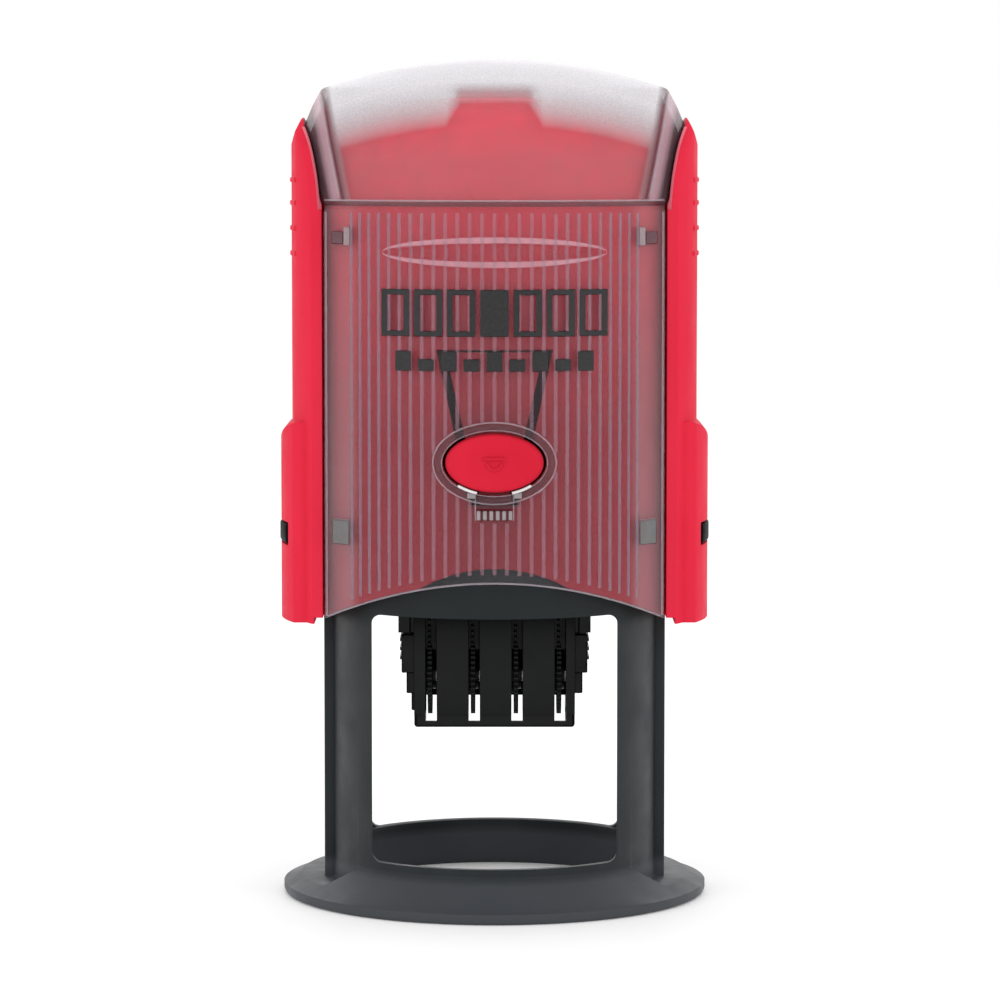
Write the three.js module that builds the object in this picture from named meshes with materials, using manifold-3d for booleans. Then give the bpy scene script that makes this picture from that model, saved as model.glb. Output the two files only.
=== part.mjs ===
// Self-inking rotary date stamp: a pressing cap over a round black frame, with a turning carrier
// that holds the text plate on one side and the date unit, with its setting wheels, on the other.
// Millimetres. Z is up and the foot ring stands on z = 0. X is across the front, -Y is the front.

import * as THREE from 'three';
import { mergeVertices } from 'three/addons/utils/BufferGeometryUtils.js';
import Module from 'manifold-3d';

const wasm = await Module();
wasm.setup();

// ---------------------------------------------------------------- driving dimensions

const CAP_STROKE = 34;          // how far the cap travels from rest to the printing position
const AXIS_HEIGHT = 40.5;       // height of the carrier's turning axis at rest
const GAP = 0.3;                // clearance kept between neighbouring pieces
const REACH = 80;               // cutting tools reach well past the object
const ROUND = 48;               // sides of a large circle
const SMALL_ROUND = 14;         // sides of a small circle

const FOOT = { outer: 28, rim: 1.4, top: 5, bore: 20.4, ledge: 2.5, ledgeHalf: 12.6 };
const TUBE = { outer: 21.7, inner: 20.9, top: 59.6 };
const WINDOW = { half: 15.9, backHalf: 16.8, bottom: 6.1, top: 38.4, corner: 1.3 };
const GUIDE = { outer: 22.45, inner: 2.6, outerY: 4.6, foot: 23.5 };
const DECK = { bottom: 58.2, top: 59.6, post: 3.4, postTop: 61.2 };
const LATCH_WINDOW = { half: 9, bottom: 52 };

const PAD = { half: 19.3, round: 20.4, bottom: 50.5, top: 57.8, roof: 1.6, feltRound: 18.6, feltFace: 47.3,
  pullHalf: 7, notchHalf: 5 };
const PAD_SLOT = { half: 19.7, bottom: 46.9, shelf: 1.2, shelfInner: 19 };

const DOME = { base: 91.1, top: 110, halfWidth: 25.3, halfDepth: 24.6 };
const HOOD = { half: 22, wall: 1, archRadius: 45.5, archTop: 43.2 };
const SHELL = { outset: 1.3, inset: 2.2, roofTop: 104.8, roofBottom: 103.7, archRadius: 17.9, archTop: 45.05,
  archHalf: 18 };
const CROWN = { halfX: 5, halfY: 9, top: 106.4 };
const CHEEK = { round: 26.7, half: 12.2, bottom: 36.8, spring: 90, top: 102.4, heel: 23.4, heelTall: 0.8 };
const BULGE = { round: 28.2, half: 10.6, top: 63, fillet: 3 };
const GROOVE = { outer: 22.85, half: 5.2 };
const GRIP = { heights: [84.7, 88, 91.3, 94.3], half: 6.5, tall: 0.9, proud: 0.3 };
const HOOK = { inner: 18.5, outer: 20.8, upper: [86.1, 88.4], lower: [47.8, 51.2] };

const BUTTON = { height: 58.6, halfWide: 6.25, halfTall: 3.7, face: 25.1, softEdge: 0.5, softDeep: 0.35 };
const TONGUE = { root: 72.6, rootHalf: 6.2, neck: 61.5, neckHalf: 3.7, waist: 57, tipHalf: 2, tip: 53.4 };
const LOCK = { height: 48.2, tall: 2.4, half: 8, face: 28.35, inner: 24.5 };

const PIN = { radius: 1.6, end: 25.7, slotHalf: 2 };
const PLATE = { radius: 18.8, face: 6.5, rubber: 2, foam: 0.8, disc: 1.3, slotHalf: 2.95, slotLong: 11.1 };
const YOKE = { inner: 11.2, outer: 12.65, half: 5.3, bottom: -5.6 };

const WHEEL = { count: 4, pitch: 5.68, radius: 5.3, thick: 0.6, teeth: 24, tooth: 0.4, y: -0.6, z: -11.6 };
const DRUM = { radius: 2.5, narrow: 1.7, boss: 2, bossLong: 0.45, bore: 1.3 };
const BAND = { thick: 0.8, top: 6.3, topRadius: 2.3 };
const AXLE = { radius: 1, half: 11.2 };
const GUARD = { half: 10.6, bottom: -18.3, bar: 0.8, top: -0.8, rail: 1.2, slotLeft: 0.6, slotRight: 0.9,
  bow: 34, bowHeight: -9, bowSpan: 0.28, frontFace: 5.6, backFace: 5.8, wall: 0.85, inner: 9.55,
  panelBottom: -16.6, floor: -17.2, barHalf: 4.4, wellHalf: 3.6 };
// Each end block of the guard: how far out it reaches, its bottom, its top and its half-depth.
const GUARD_ENDS = [[10.9, -5.8, GUARD.top, 4.6], [12.25, -11, -5.9, 4.9], [11.6, -13.7, -10.9, 5],
  [GUARD.half, -16, -13.6, 4.7]];
const GUARD_TEETH = { heights: [-6.4, -7.6, -8.8], tall: 0.4, outer: 12.45, half: 4.9 };
const BRIDGE = { half: 10.9, thick: 0.95, bottom: -5.9 };

const SPRING = { radius: 5, wire: 1, turns: 7.5, steps: 10, sides: 5, seatOuter: 7.4, seatInner: 6.2,
  seatDeep: 2.2 };

const RED = { color: 0xe01232, roughness: 0.32, metalness: 0 };
const BLACK = { color: 0x33373a, roughness: 0.55, metalness: 0 };
const DEEP_BLACK = { color: 0x191a1c, roughness: 0.6, metalness: 0 };
const CLEAR = { color: 0xd8d4d6, roughness: 0.25, metalness: 0, transparent: true, opacity: 0.45 };
const RUBBER = { color: 0x6a2f2a, roughness: 0.8, metalness: 0 };
const FELT = { color: 0x17161c, roughness: 1, metalness: 0 };
const FOAM = { color: 0x9b9a94, roughness: 1, metalness: 0 };
const STEEL = { color: 0xa9abae, roughness: 0.3, metalness: 1 };

// ---------------------------------------------------------------- solids

// A closed three.js geometry as a solid that can be joined and cut.
function solid(geometry) {
  const bare = geometry.index ? geometry.toNonIndexed() : geometry.clone();
  bare.deleteAttribute('normal');
  bare.deleteAttribute('uv');
  const merged = mergeVertices(bare, 1e-4);
  return new wasm.Manifold(new wasm.Mesh({
    numProp: 3,
    vertProperties: new Float32Array(merged.attributes.position.array),
    triVerts: new Uint32Array(merged.index.array),
  }));
}

function geometryOf(body) {
  const mesh = body.getMesh();
  const geometry = new THREE.BufferGeometry();
  geometry.setAttribute('position', new THREE.BufferAttribute(new Float32Array(mesh.vertProperties), 3));
  geometry.setIndex(new THREE.BufferAttribute(new Uint32Array(mesh.triVerts), 1));
  geometry.computeVertexNormals();
  return geometry;
}

const joined = (bodies) => bodies.reduce((whole, body) => whole.add(body));
const cut = (body, tools) => tools.reduce((whole, tool) => whole.subtract(tool), body);

function extruded(points, depth, matrix) {
  const shape = new THREE.Shape(points);
  const geometry = new THREE.ExtrudeGeometry(shape, { depth, bevelEnabled: false, steps: 1 });
  return solid(geometry.applyMatrix4(matrix));
}

// Outline points are (x, y), and the prism stands between two heights.
function prismZ(points, low, high) {
  return extruded(points, high - low, new THREE.Matrix4().makeTranslation(0, 0, low));
}

// Outline points are (y, z), and the prism lies between two values of x.
function prismX(points, low, high) {
  const turn = new THREE.Matrix4().makeBasis(
    new THREE.Vector3(0, 1, 0), new THREE.Vector3(0, 0, 1), new THREE.Vector3(1, 0, 0));
  return extruded(points, high - low, turn.setPosition(low, 0, 0));
}

// Outline points are (x, z), and the prism lies between two values of y.
function prismY(points, low, high) {
  const turn = new THREE.Matrix4().makeBasis(
    new THREE.Vector3(1, 0, 0), new THREE.Vector3(0, 0, 1), new THREE.Vector3(0, -1, 0));
  return extruded(points, high - low, turn.setPosition(0, high, 0));
}

function box(low, high) {
  const size = high.map((value, axis) => value - low[axis]);
  const geometry = new THREE.BoxGeometry(...size);
  const centre = low.map((value, axis) => value + size[axis] / 2);
  return solid(geometry.translate(...centre));
}

// The same box on the right and on the left.
function boxPair([x0, y0, z0], [x1, y1, z1]) {
  return box([x0, y0, z0], [x1, y1, z1]).add(box([-x1, y0, z0], [-x0, y1, z1]));
}

// ---------------------------------------------------------------- outlines

const at = (x, y) => new THREE.Vector2(x, y);

function arc(cx, cy, rx, ry, from, to, steps) {
  const points = [];
  for (let i = 0; i <= steps; i += 1) {
    const angle = from + (to - from) * i / steps;
    points.push(at(cx + rx * Math.cos(angle), cy + ry * Math.sin(angle)));
  }
  return points;
}

function ellipse(cx, cy, rx, ry, sides) {
  return arc(cx, cy, rx, ry, 0, 2 * Math.PI, sides).slice(0, -1);
}

function roundedBox(x0, y0, x1, y1, r, steps = 3) {
  const quarter = Math.PI / 2;
  return [
    ...arc(x1 - r, y0 + r, r, r, -quarter, 0, steps),
    ...arc(x1 - r, y1 - r, r, r, 0, quarter, steps),
    ...arc(x0 + r, y1 - r, r, r, quarter, 2 * quarter, steps),
    ...arc(x0 + r, y0 + r, r, r, 2 * quarter, 3 * quarter, steps),
  ];
}

function cylinderZ(radius, low, high, sides = ROUND) {
  return prismZ(ellipse(0, 0, radius, radius, sides), low, high);
}

function rodX(radius, low, high, y, z) {
  return prismX(ellipse(y, z, radius, radius, SMALL_ROUND), low, high);
}

// ---------------------------------------------------------------- cap outlines

// Half-width and half-depth of the cap at each height above the dome's base line.
const SIDE_LINE = [[91.1, 25.3], [96.5, 25.3], [101.2, 25.1], [104, 23.9], [106.2, 22.7], [107.2, 19.6],
  [108.6, 12.6], [109.6, 5.6], [110, 0]];

function depthAt(z) {
  const rise = (z - DOME.base) / (DOME.top - DOME.base);
  return DOME.halfDepth * Math.sqrt(Math.max(0, 1 - rise * rise));
}

// The cap's rounded form from z = low upwards, drawn in by an inset on every side.
function domeForm(inset, low) {
  const shrink = (DOME.top - DOME.base - inset) / (DOME.top - DOME.base);
  const levels = [[low, DOME.halfWidth - inset, DOME.halfDepth - inset]];
  for (const [z, half] of SIDE_LINE) {
    const narrow = half === 0 ? 0 : half - inset * half / DOME.halfWidth;
    const depth = depthAt(z) * (1 - inset / DOME.halfDepth);
    levels.push([DOME.base + (z - DOME.base) * shrink, narrow, depth]);
  }
  const profile = [at(0, low), ...levels.map(([z, half]) => at(half, z))];
  const geometry = new THREE.LatheGeometry(profile, ROUND);
  geometry.rotateX(Math.PI / 2);
  const place = geometry.attributes.position;
  const sections = [[low, 0, 0], ...levels];
  for (let i = 0; i < place.count; i += 1) {
    const ring = sections[i % profile.length];
    const stretch = ring[1] === 0 ? 1 : ring[2] / ring[1];
    place.setY(i, place.getY(i) * stretch);
  }
  return solid(geometry);
}

// The front and back area that the clear hood covers; a margin grows it sideways.
function hoodArea(margin) {
  const half = HOOD.half + margin;
  const shoulder = DOME.halfWidth + 0.4 + margin;
  return prismY([at(-half, 30), at(half, 30), at(half, DOME.base), at(shoulder, 102), at(shoulder, 115),
    at(-shoulder, 115), at(-shoulder, 102), at(-half, DOME.base)], -REACH, REACH);
}

// Everything below an arched lower edge.
function belowArch(radius, top) {
  return prismY(ellipse(0, top - radius, radius, radius, ROUND), -REACH, REACH);
}

// Lower edge of the hood and, a little higher, of the red wall behind it.
function belowHood(raise) {
  const arch = belowArch(HOOD.archRadius + raise, HOOD.archTop + raise);
  return arch.add(box([-REACH, -REACH, -REACH], [REACH, REACH, 30]));
}

// ---------------------------------------------------------------- frame

function footRing() {
  const slope = [];
  for (let share = 0; share <= 1.001; share += 0.25) {
    const radius = FOOT.outer - share * (FOOT.outer - TUBE.outer);
    slope.push(at(radius, FOOT.rim + (FOOT.top - FOOT.rim) * share ** 1.25));
  }
  const profile = [at(FOOT.bore, 0), at(FOOT.outer - 0.3, 0), at(FOOT.outer, 0.3), ...slope,
    at(TUBE.outer, WINDOW.bottom), at(FOOT.bore, WINDOW.bottom), at(FOOT.bore, 0)];
  const ring = solid(new THREE.LatheGeometry(profile, ROUND).rotateX(Math.PI / 2));
  const ledge = boxPair([10, -FOOT.ledgeHalf, FOOT.ledge], [REACH, FOOT.ledgeHalf, REACH]);
  return ring.subtract(ledge.subtract(cylinderZ(TUBE.outer - 0.05, 0, REACH)));
}

function tubeWall() {
  const wall = cylinderZ(TUBE.outer, 1, TUBE.top).subtract(cylinderZ(TUBE.inner, 0, TUBE.top + 1));
  const windows = [[WINDOW.half, -REACH, 0], [WINDOW.backHalf, 0, REACH]].map(([half, near, far]) => prismY(
    roundedBox(-half, WINDOW.bottom, half, WINDOW.top, WINDOW.corner), near, far));
  const latch = box([-LATCH_WINDOW.half, -REACH, LATCH_WINDOW.bottom], [LATCH_WINDOW.half, 0, REACH]);
  const padSlot = box([-PAD_SLOT.half, 0, PAD_SLOT.bottom], [PAD_SLOT.half, REACH, DECK.bottom]);
  return cut(wall, [...windows, latch, padSlot]);
}

// Upright guide ribs on both side rails, one each side of the carrier's pin.
function guideRibs() {
  const rib = boxPair([TUBE.inner + 0.2, GUIDE.inner, 1.5], [GUIDE.outer, GUIDE.outerY, TUBE.top]);
  const foot = boxPair([TUBE.inner + 0.2, GUIDE.inner, 0.6], [GUIDE.foot, GUIDE.outerY, FOOT.ledge]);
  const front = rib.add(foot);
  return front.add(front.mirror([0, 1, 0]));
}

function deck() {
  const plate = cylinderZ(TUBE.inner + 0.2, DECK.bottom, DECK.top);
  const post = cylinderZ(DECK.post, DECK.top - 0.2, DECK.postTop, SMALL_ROUND);
  const shelfTop = PAD.bottom - GAP;
  const shelves = boxPair([PAD_SLOT.shelfInner, -7, shelfTop - PAD_SLOT.shelf],
    [TUBE.inner + 0.2, 5.5, shelfTop]);
  return joined([plate, post, shelves]);
}

function frame() {
  const low = AXIS_HEIGHT - CAP_STROKE;
  const pinSlot = prismX(roundedBox(-PIN.slotHalf, low - PIN.slotHalf, PIN.slotHalf,
    AXIS_HEIGHT + PIN.slotHalf, PIN.slotHalf - 0.01), -REACH, REACH);
  const body = joined([footRing(), tubeWall(), guideRibs()]).subtract(pinSlot);
  return body.add(deck());
}

// ---------------------------------------------------------------- ink pad

function padOutline(radius, half) {
  const turn = Math.acos(half / radius);
  return [...arc(0, 0, radius, radius, turn, Math.PI - turn, 24),
    ...arc(0, 0, radius, radius, Math.PI + turn, 2 * Math.PI - turn, 24)];
}

function inkPadCassette() {
  const block = prismZ(padOutline(PAD.round, PAD.half), PAD.bottom, PAD.top);
  const well = cylinderZ(PAD.feltRound + GAP, 0, PAD.top - PAD.roof, 48);
  const pull = box([-PAD.pullHalf, 19.4, PAD.bottom], [PAD.pullHalf, REACH, PAD.top - 1])
    .intersect(cylinderZ(TUBE.outer, 0, REACH));
  const fingerNotch = box([-PAD.notchHalf, 20.6, PAD.bottom + 1.5], [PAD.notchHalf, REACH, PAD.top - 2.5]);
  return cut(block.add(pull), [well, fingerNotch]);
}

function inkPadFelt() {
  return cylinderZ(PAD.feltRound, PAD.feltFace, PAD.top - PAD.roof - GAP, 48);
}

// ---------------------------------------------------------------- cap

// Positions of the four hooks that hold the hood, front and back.
function hookBoxes(growth, outerDepth) {
  const boxes = [];
  for (const [low, high] of [HOOK.upper, HOOK.lower]) {
    for (const side of [-1, 1]) {
      const inner = HOOK.inner - growth;
      const outer = HOOK.outer + growth;
      const x0 = side < 0 ? -outer : inner;
      const x1 = side < 0 ? -inner : outer;
      const deep = side < 0 ? Math.abs(x0) : x1;
      const surface = Math.sqrt(outerDepth ** 2 - deep ** 2);
      boxes.push(box([x0, -surface, low - growth], [x1, -8, high + growth]));
      boxes.push(box([x0, 8, low - growth], [x1, surface, high + growth]));
    }
  }
  return joined(boxes);
}

function padPassage() {
  return box([-PAD_SLOT.half, 0, PAD_SLOT.bottom], [PAD_SLOT.half, REACH, PAD.top + GAP]);
}

// Outline of the sprung tongue as seen from the front, with a margin around it.
function tongueOutline(margin) {
  const corners = [[TONGUE.tipHalf, TONGUE.tip - margin], [TONGUE.tipHalf, TONGUE.waist],
    [TONGUE.neckHalf, TONGUE.neck], [TONGUE.rootHalf, TONGUE.root + margin]];
  const right = corners.map(([half, z]) => at(half + margin, z));
  const left = corners.map(([half, z]) => at(-half - margin, z)).reverse();
  return [...right, ...left];
}

function buttonOutline(margin) {
  return ellipse(0, BUTTON.height, BUTTON.halfWide + margin, BUTTON.halfTall + margin, 24);
}

function cheeks() {
  const disc = cylinderZ(CHEEK.round, CHEEK.bottom, CHEEK.top);
  const rise = CHEEK.top - CHEEK.spring;
  const side = [at(-CHEEK.half, 0), at(CHEEK.half, 0),
    ...arc(0, CHEEK.spring, CHEEK.half, rise, 0, Math.PI, 12)];
  const sides = prismX(side, 10, REACH).add(prismX(side, -REACH, -10));
  const silhouette = prismY([at(-27, 0), at(27, 0), at(27, 97.5), at(26.3, 100), at(25.6, CHEEK.top),
    at(-25.6, CHEEK.top), at(-26.3, 100), at(-27, 97.5)], -REACH, REACH);
  const hoodRoom = domeForm(-GAP, 20).intersect(hoodArea(GAP));
  const heel = boxPair([10, -REACH, 0], [CHEEK.heel, REACH, CHEEK.bottom + CHEEK.heelTall]);
  return cut(disc.intersect(sides).intersect(silhouette), [hoodRoom, heel]);
}

function bulges() {
  const disc = cylinderZ(BULGE.round, CHEEK.bottom, BULGE.top);
  const sides = boxPair([CHEEK.heel, -BULGE.half, 0], [REACH, BULGE.half, REACH]);
  const shoulder = arc(BULGE.round - BULGE.fillet, BULGE.top - BULGE.fillet, BULGE.fillet, BULGE.fillet,
    0, Math.PI / 2, 6);
  const mirrored = shoulder.map((point) => at(-point.x, point.y)).reverse();
  const outline = [at(-BULGE.round, 0), at(BULGE.round, 0), ...shoulder, ...mirrored];
  return disc.intersect(sides).intersect(prismY(outline, -REACH, REACH));
}

function gripRibs() {
  const round = cylinderZ(CHEEK.round + GRIP.proud, 0, 120);
  const bars = GRIP.heights.map((z) => boxPair([20, -GRIP.half, z - GRIP.tall / 2],
    [REACH, GRIP.half, z + GRIP.tall / 2]));
  return joined(bars).intersect(round).subtract(cylinderZ(CHEEK.round - 0.5, 0, 120));
}

// Side pocket for a lock button, open to the guide groove inside.
function lockPockets() {
  const halfTall = LOCK.tall / 2 + GAP;
  return boxPair([22, -LOCK.half - GAP, LOCK.height - halfTall],
    [REACH, LOCK.half + GAP, LOCK.height + halfTall]);
}

// Everything of a body that lies below a height.
function below(body, height) {
  return body.intersect(box([-REACH, -REACH, 0], [REACH, REACH, height]));
}

// The opening under the cap's front and back walls that the frame shows through.
function wallArch() {
  return belowArch(SHELL.archRadius, SHELL.archTop)
    .intersect(box([-SHELL.archHalf, -REACH, 0], [SHELL.archHalf, REACH, 60]));
}

function springSeat() {
  const foot = SHELL.roofBottom - SPRING.seatDeep;
  return cylinderZ(SPRING.seatOuter, foot, SHELL.roofBottom + 0.4, 32)
    .subtract(cylinderZ(SPRING.seatInner, foot - 1, SHELL.roofBottom, 32));
}

function capShell() {
  const outer = below(domeForm(SHELL.outset, 30), SHELL.roofTop);
  const wall = outer.subtract(belowHood(0.7));
  const hooks = hookBoxes(0, DOME.halfDepth - 0.25);
  const body = joined([wall, cheeks(), bulges(), gripRibs(), hooks]);
  const inner = below(domeForm(SHELL.inset, 20), SHELL.roofBottom);
  const grooves = boxPair([10, -GROOVE.half, 0], [GROOVE.outer, GROOVE.half, SHELL.roofBottom - 2]);
  const journals = rodX(PIN.radius + GAP, -PIN.end - GAP, PIN.end + GAP, 0, AXIS_HEIGHT);
  const frontCut = (outline) => prismY(outline, -REACH, 0);
  const hollow = cut(body, [inner, grooves, journals, lockPockets(), padPassage(), wallArch(),
    frontCut(tongueOutline(GAP)), frontCut(buttonOutline(GAP))]);
  const crown = box([-CROWN.halfX, -CROWN.halfY, SHELL.roofBottom + 0.4],
    [CROWN.halfX, CROWN.halfY, CROWN.top]);
  return joined([hollow, springSeat(), crown]);
}

function clearHood() {
  const outer = domeForm(0, 30);
  const inner = domeForm(HOOD.wall, 20);
  const skin = outer.subtract(inner).intersect(hoodArea(0)).subtract(belowHood(0));
  const buttonHole = prismY(buttonOutline(GAP + 0.35), -REACH, 0);
  const notch = prismY(roundedBox(-2.2, 51.4, 2.2, 56, 0.6), -REACH, 0);
  return cut(skin, [hookBoxes(GAP, REACH), buttonHole, notch, padPassage()]);
}

function mainSpring() {
  const low = DECK.top + GAP + SPRING.wire / 2;
  const high = SHELL.roofBottom - GAP - SPRING.wire / 2;
  const turns = new THREE.Curve();
  turns.getPoint = (share) => {
    const angle = 2 * Math.PI * SPRING.turns * share;
    return new THREE.Vector3(SPRING.radius * Math.cos(angle), SPRING.radius * Math.sin(angle),
      low + (high - low) * share);
  };
  const wire = new THREE.Shape(ellipse(0, 0, SPRING.wire / 2, SPRING.wire / 2, SPRING.sides));
  const steps = SPRING.turns * SPRING.steps;
  return solid(new THREE.ExtrudeGeometry(wire, { steps, extrudePath: turns, bevelEnabled: false }));
}

// ---------------------------------------------------------------- buttons

function releaseButton() {
  const core = cylinderZ(DOME.halfDepth - SHELL.inset, 0, 90);
  const wall = (outer) => cylinderZ(outer, 40, REACH).subtract(core);
  const inFront = (outline) => prismY(outline, -REACH, 0);
  const tongue = wall(DOME.halfDepth - SHELL.outset).intersect(inFront(tongueOutline(0)));
  const rim = wall(BUTTON.face - BUTTON.softDeep).intersect(inFront(buttonOutline(0)));
  const face = wall(BUTTON.face).intersect(inFront(buttonOutline(-BUTTON.softEdge)));
  return joined([tongue, rim, face]);
}

function lockButton(side) {
  const band = cylinderZ(LOCK.face, LOCK.height - LOCK.tall / 2, LOCK.height + LOCK.tall / 2);
  const low = side < 0 ? -REACH : LOCK.inner;
  const high = side < 0 ? -LOCK.inner : REACH;
  return band.intersect(box([low, -LOCK.half, 0], [high, LOCK.half, 100]));
}

// ---------------------------------------------------------------- carrier
// Pieces of the carrier are drawn with the turning axis at y = 0, z = 0; their group lifts them into place.

function plateDisc(low, high) {
  const slot = box([-PLATE.slotLong, -PLATE.slotHalf, low - 1], [PLATE.slotLong, PLATE.slotHalf, high + 1]);
  return cylinderZ(PLATE.radius, low, high).subtract(slot);
}

const RUBBER_LOW = PLATE.face - PLATE.rubber;
const FOAM_LOW = RUBBER_LOW - GAP - PLATE.foam;
const DISC_LOW = FOAM_LOW - GAP - PLATE.disc;

const textPlate = () => plateDisc(RUBBER_LOW, PLATE.face);
const dieCushion = () => plateDisc(FOAM_LOW, FOAM_LOW + PLATE.foam);

function dateCarrier() {
  const disc = plateDisc(DISC_LOW, DISC_LOW + PLATE.disc);
  const arms = boxPair([YOKE.inner, -YOKE.half, YOKE.bottom], [YOKE.outer, YOKE.half, DISC_LOW + 0.3]);
  const pin = rodX(PIN.radius, YOKE.inner + 0.2, PIN.end, 0, 0);
  const gussetTop = DISC_LOW + 0.2;
  const gussetOutline = [at(-3, gussetTop), at(-PIN.radius, 0), at(PIN.radius, 0), at(3, gussetTop)];
  const gusset = prismX(gussetOutline, YOKE.inner + 0.2, 18);
  const side = pin.add(gusset);
  return joined([disc, arms, side, side.mirror([1, 0, 0])]);
}

// Places of the four date wheels along the axle.
const wheelPlaces = Array.from({ length: WHEEL.count }, (_, i) => (i - (WHEEL.count - 1) / 2) * WHEEL.pitch);

function drumSpan(index) {
  const right = wheelPlaces[index] - WHEEL.thick / 2;
  if (index === 0) return [right - GAP - DRUM.narrow, right];
  return [wheelPlaces[index - 1] + WHEEL.thick / 2 + DRUM.bossLong + GAP, right];
}

function dateWheel(index) {
  const x = wheelPlaces[index];
  const points = [];
  for (let i = 0; i < 2 * WHEEL.teeth; i += 1) {
    const radius = i % 2 === 0 ? WHEEL.radius : WHEEL.radius - WHEEL.tooth;
    const angle = Math.PI * i / WHEEL.teeth;
    points.push(at(WHEEL.y + radius * Math.cos(angle), WHEEL.z + radius * Math.sin(angle)));
  }
  const disc = prismX(points, x - WHEEL.thick / 2, x + WHEEL.thick / 2);
  const [left, right] = drumSpan(index);
  const drum = rodX(DRUM.radius, left, right + 0.1, WHEEL.y, WHEEL.z);
  const boss = rodX(DRUM.boss, x, x + WHEEL.thick / 2 + DRUM.bossLong, WHEEL.y, WHEEL.z);
  return joined([disc, drum, boss]).subtract(rodX(DRUM.bore, -REACH, REACH, WHEEL.y, WHEEL.z));
}

// Belt outline around the printing bridge above and a drum below, at a distance inside its outer face.
function beltOutline(inside) {
  const topRadius = BAND.topRadius - inside;
  const lowRadius = DRUM.radius + GAP + BAND.thick - inside;
  const topZ = BAND.top - BAND.topRadius;
  const lean = Math.atan2(WHEEL.y, topZ - WHEEL.z);
  const tilt = Math.asin((lowRadius - topRadius) / Math.hypot(topZ - WHEEL.z, WHEEL.y));
  return [...arc(0, topZ, topRadius, topRadius, lean + tilt, Math.PI + lean - tilt, 10),
    ...arc(WHEEL.y, WHEEL.z, lowRadius, lowRadius, Math.PI + lean - tilt, 2 * Math.PI + lean + tilt, 14)];
}

function dateBand(index) {
  const [left, right] = drumSpan(index);
  const x0 = left + (index === 0 ? 0 : 0.25);
  const x1 = right - GAP - 0.35;
  return prismX(beltOutline(0), x0, x1).subtract(prismX(beltOutline(BAND.thick), x0 - 1, x1 + 1));
}

const wheelAxle = () => rodX(AXLE.radius, -AXLE.half, AXLE.half, WHEEL.y, WHEEL.z);

function printingBridge() {
  const reach = BAND.topRadius - BAND.thick - GAP;
  const top = BAND.top - BAND.topRadius;
  const nose = arc(0, top, reach, reach, 0, Math.PI, 8);
  const outline = [at(-BRIDGE.thick, BRIDGE.bottom), at(BRIDGE.thick, BRIDGE.bottom), ...nose];
  return prismX(outline, -BRIDGE.half, BRIDGE.half);
}

// Side profile of the date unit's guard; the front and back bow out gently.
function guardOutline(wall) {
  const { bow, bowHeight, bowSpan, frontFace, backFace } = GUARD;
  const radius = bow - wall;
  const front = arc(bow - frontFace, bowHeight, radius, radius, Math.PI - bowSpan, Math.PI + bowSpan, 8);
  const back = arc(backFace - bow, bowHeight, radius, radius, -bowSpan, bowSpan, 8);
  return [...front, ...back];
}

function guardPanels() {
  const { half, inner, bottom, top, panelBottom, floor, barHalf, wellHalf } = GUARD;
  const outer = prismX(guardOutline(0), -half, half)
    .intersect(box([-half, -REACH, panelBottom], [half, REACH, top]));
  const cavity = prismX(guardOutline(GUARD.wall), -inner, inner)
    .intersect(box([-half, -REACH, floor], [half, REACH, REACH]));
  const barWeb = box([-half, -barHalf, bottom], [half, barHalf, panelBottom + GAP]);
  const barWell = box([-inner, -wellHalf, floor], [inner, wellHalf, panelBottom + 2 * GAP]);
  return cut(outer.add(barWeb), [cavity, barWell]);
}

// Stepped end blocks that carry the axle and the grip teeth at the sides.
function guardEnds() {
  const inner = GUARD.inner - 0.15;
  const blocks = GUARD_ENDS.map(([reach, low, high, deep]) => (
    boxPair([inner, -deep, low], [reach, deep, high])));
  const { heights, tall, outer, half } = GUARD_TEETH;
  const teeth = heights.map((z) => boxPair([outer - tall, -half, z - tall], [outer, half, z]));
  return joined([...blocks, ...teeth]);
}

function dateGuard() {
  const wheelRound = ellipse(WHEEL.y, WHEEL.z, WHEEL.radius + 0.35, WHEEL.radius + 0.35, 28);
  const wheelRoom = wheelPlaces.map((x) => prismX(wheelRound, x - GUARD.slotLeft, x + GUARD.slotRight));
  const frontSlots = wheelPlaces.map((x) => box([x - GUARD.slotLeft, -REACH, GUARD.bottom + GUARD.bar],
    [x + GUARD.slotRight, -1.5, GUARD.top - GUARD.rail]));
  const seeThrough = wheelPlaces.map((x) => box([x - GUARD.slotLeft, -REACH, GUARD.bottom + GUARD.bar],
    [x + GUARD.slotRight, REACH, WHEEL.z - DRUM.radius]));
  const axleHole = rodX(AXLE.radius + GAP, -AXLE.half - GAP, AXLE.half + GAP, WHEEL.y, WHEEL.z);
  const bridgeRoom = box([-BRIDGE.half - GAP, -BRIDGE.thick - GAP, BRIDGE.bottom - GAP],
    [BRIDGE.half + GAP, BRIDGE.thick + GAP, 9]);
  const bandRoom = prismX(beltOutline(-GAP), -REACH, 0.5 - GUARD.inner);
  const body = guardPanels().add(guardEnds());
  return cut(body, [...wheelRoom, ...frontSlots, ...seeThrough, axleHole, bridgeRoom, bandRoom]);
}

// ---------------------------------------------------------------- assembly

const group = new THREE.Group();

function addNode(parent, name, body, finish) {
  const mesh = new THREE.Mesh(geometryOf(body), new THREE.MeshStandardMaterial(finish));
  mesh.name = name;
  parent.add(mesh);
}

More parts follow.
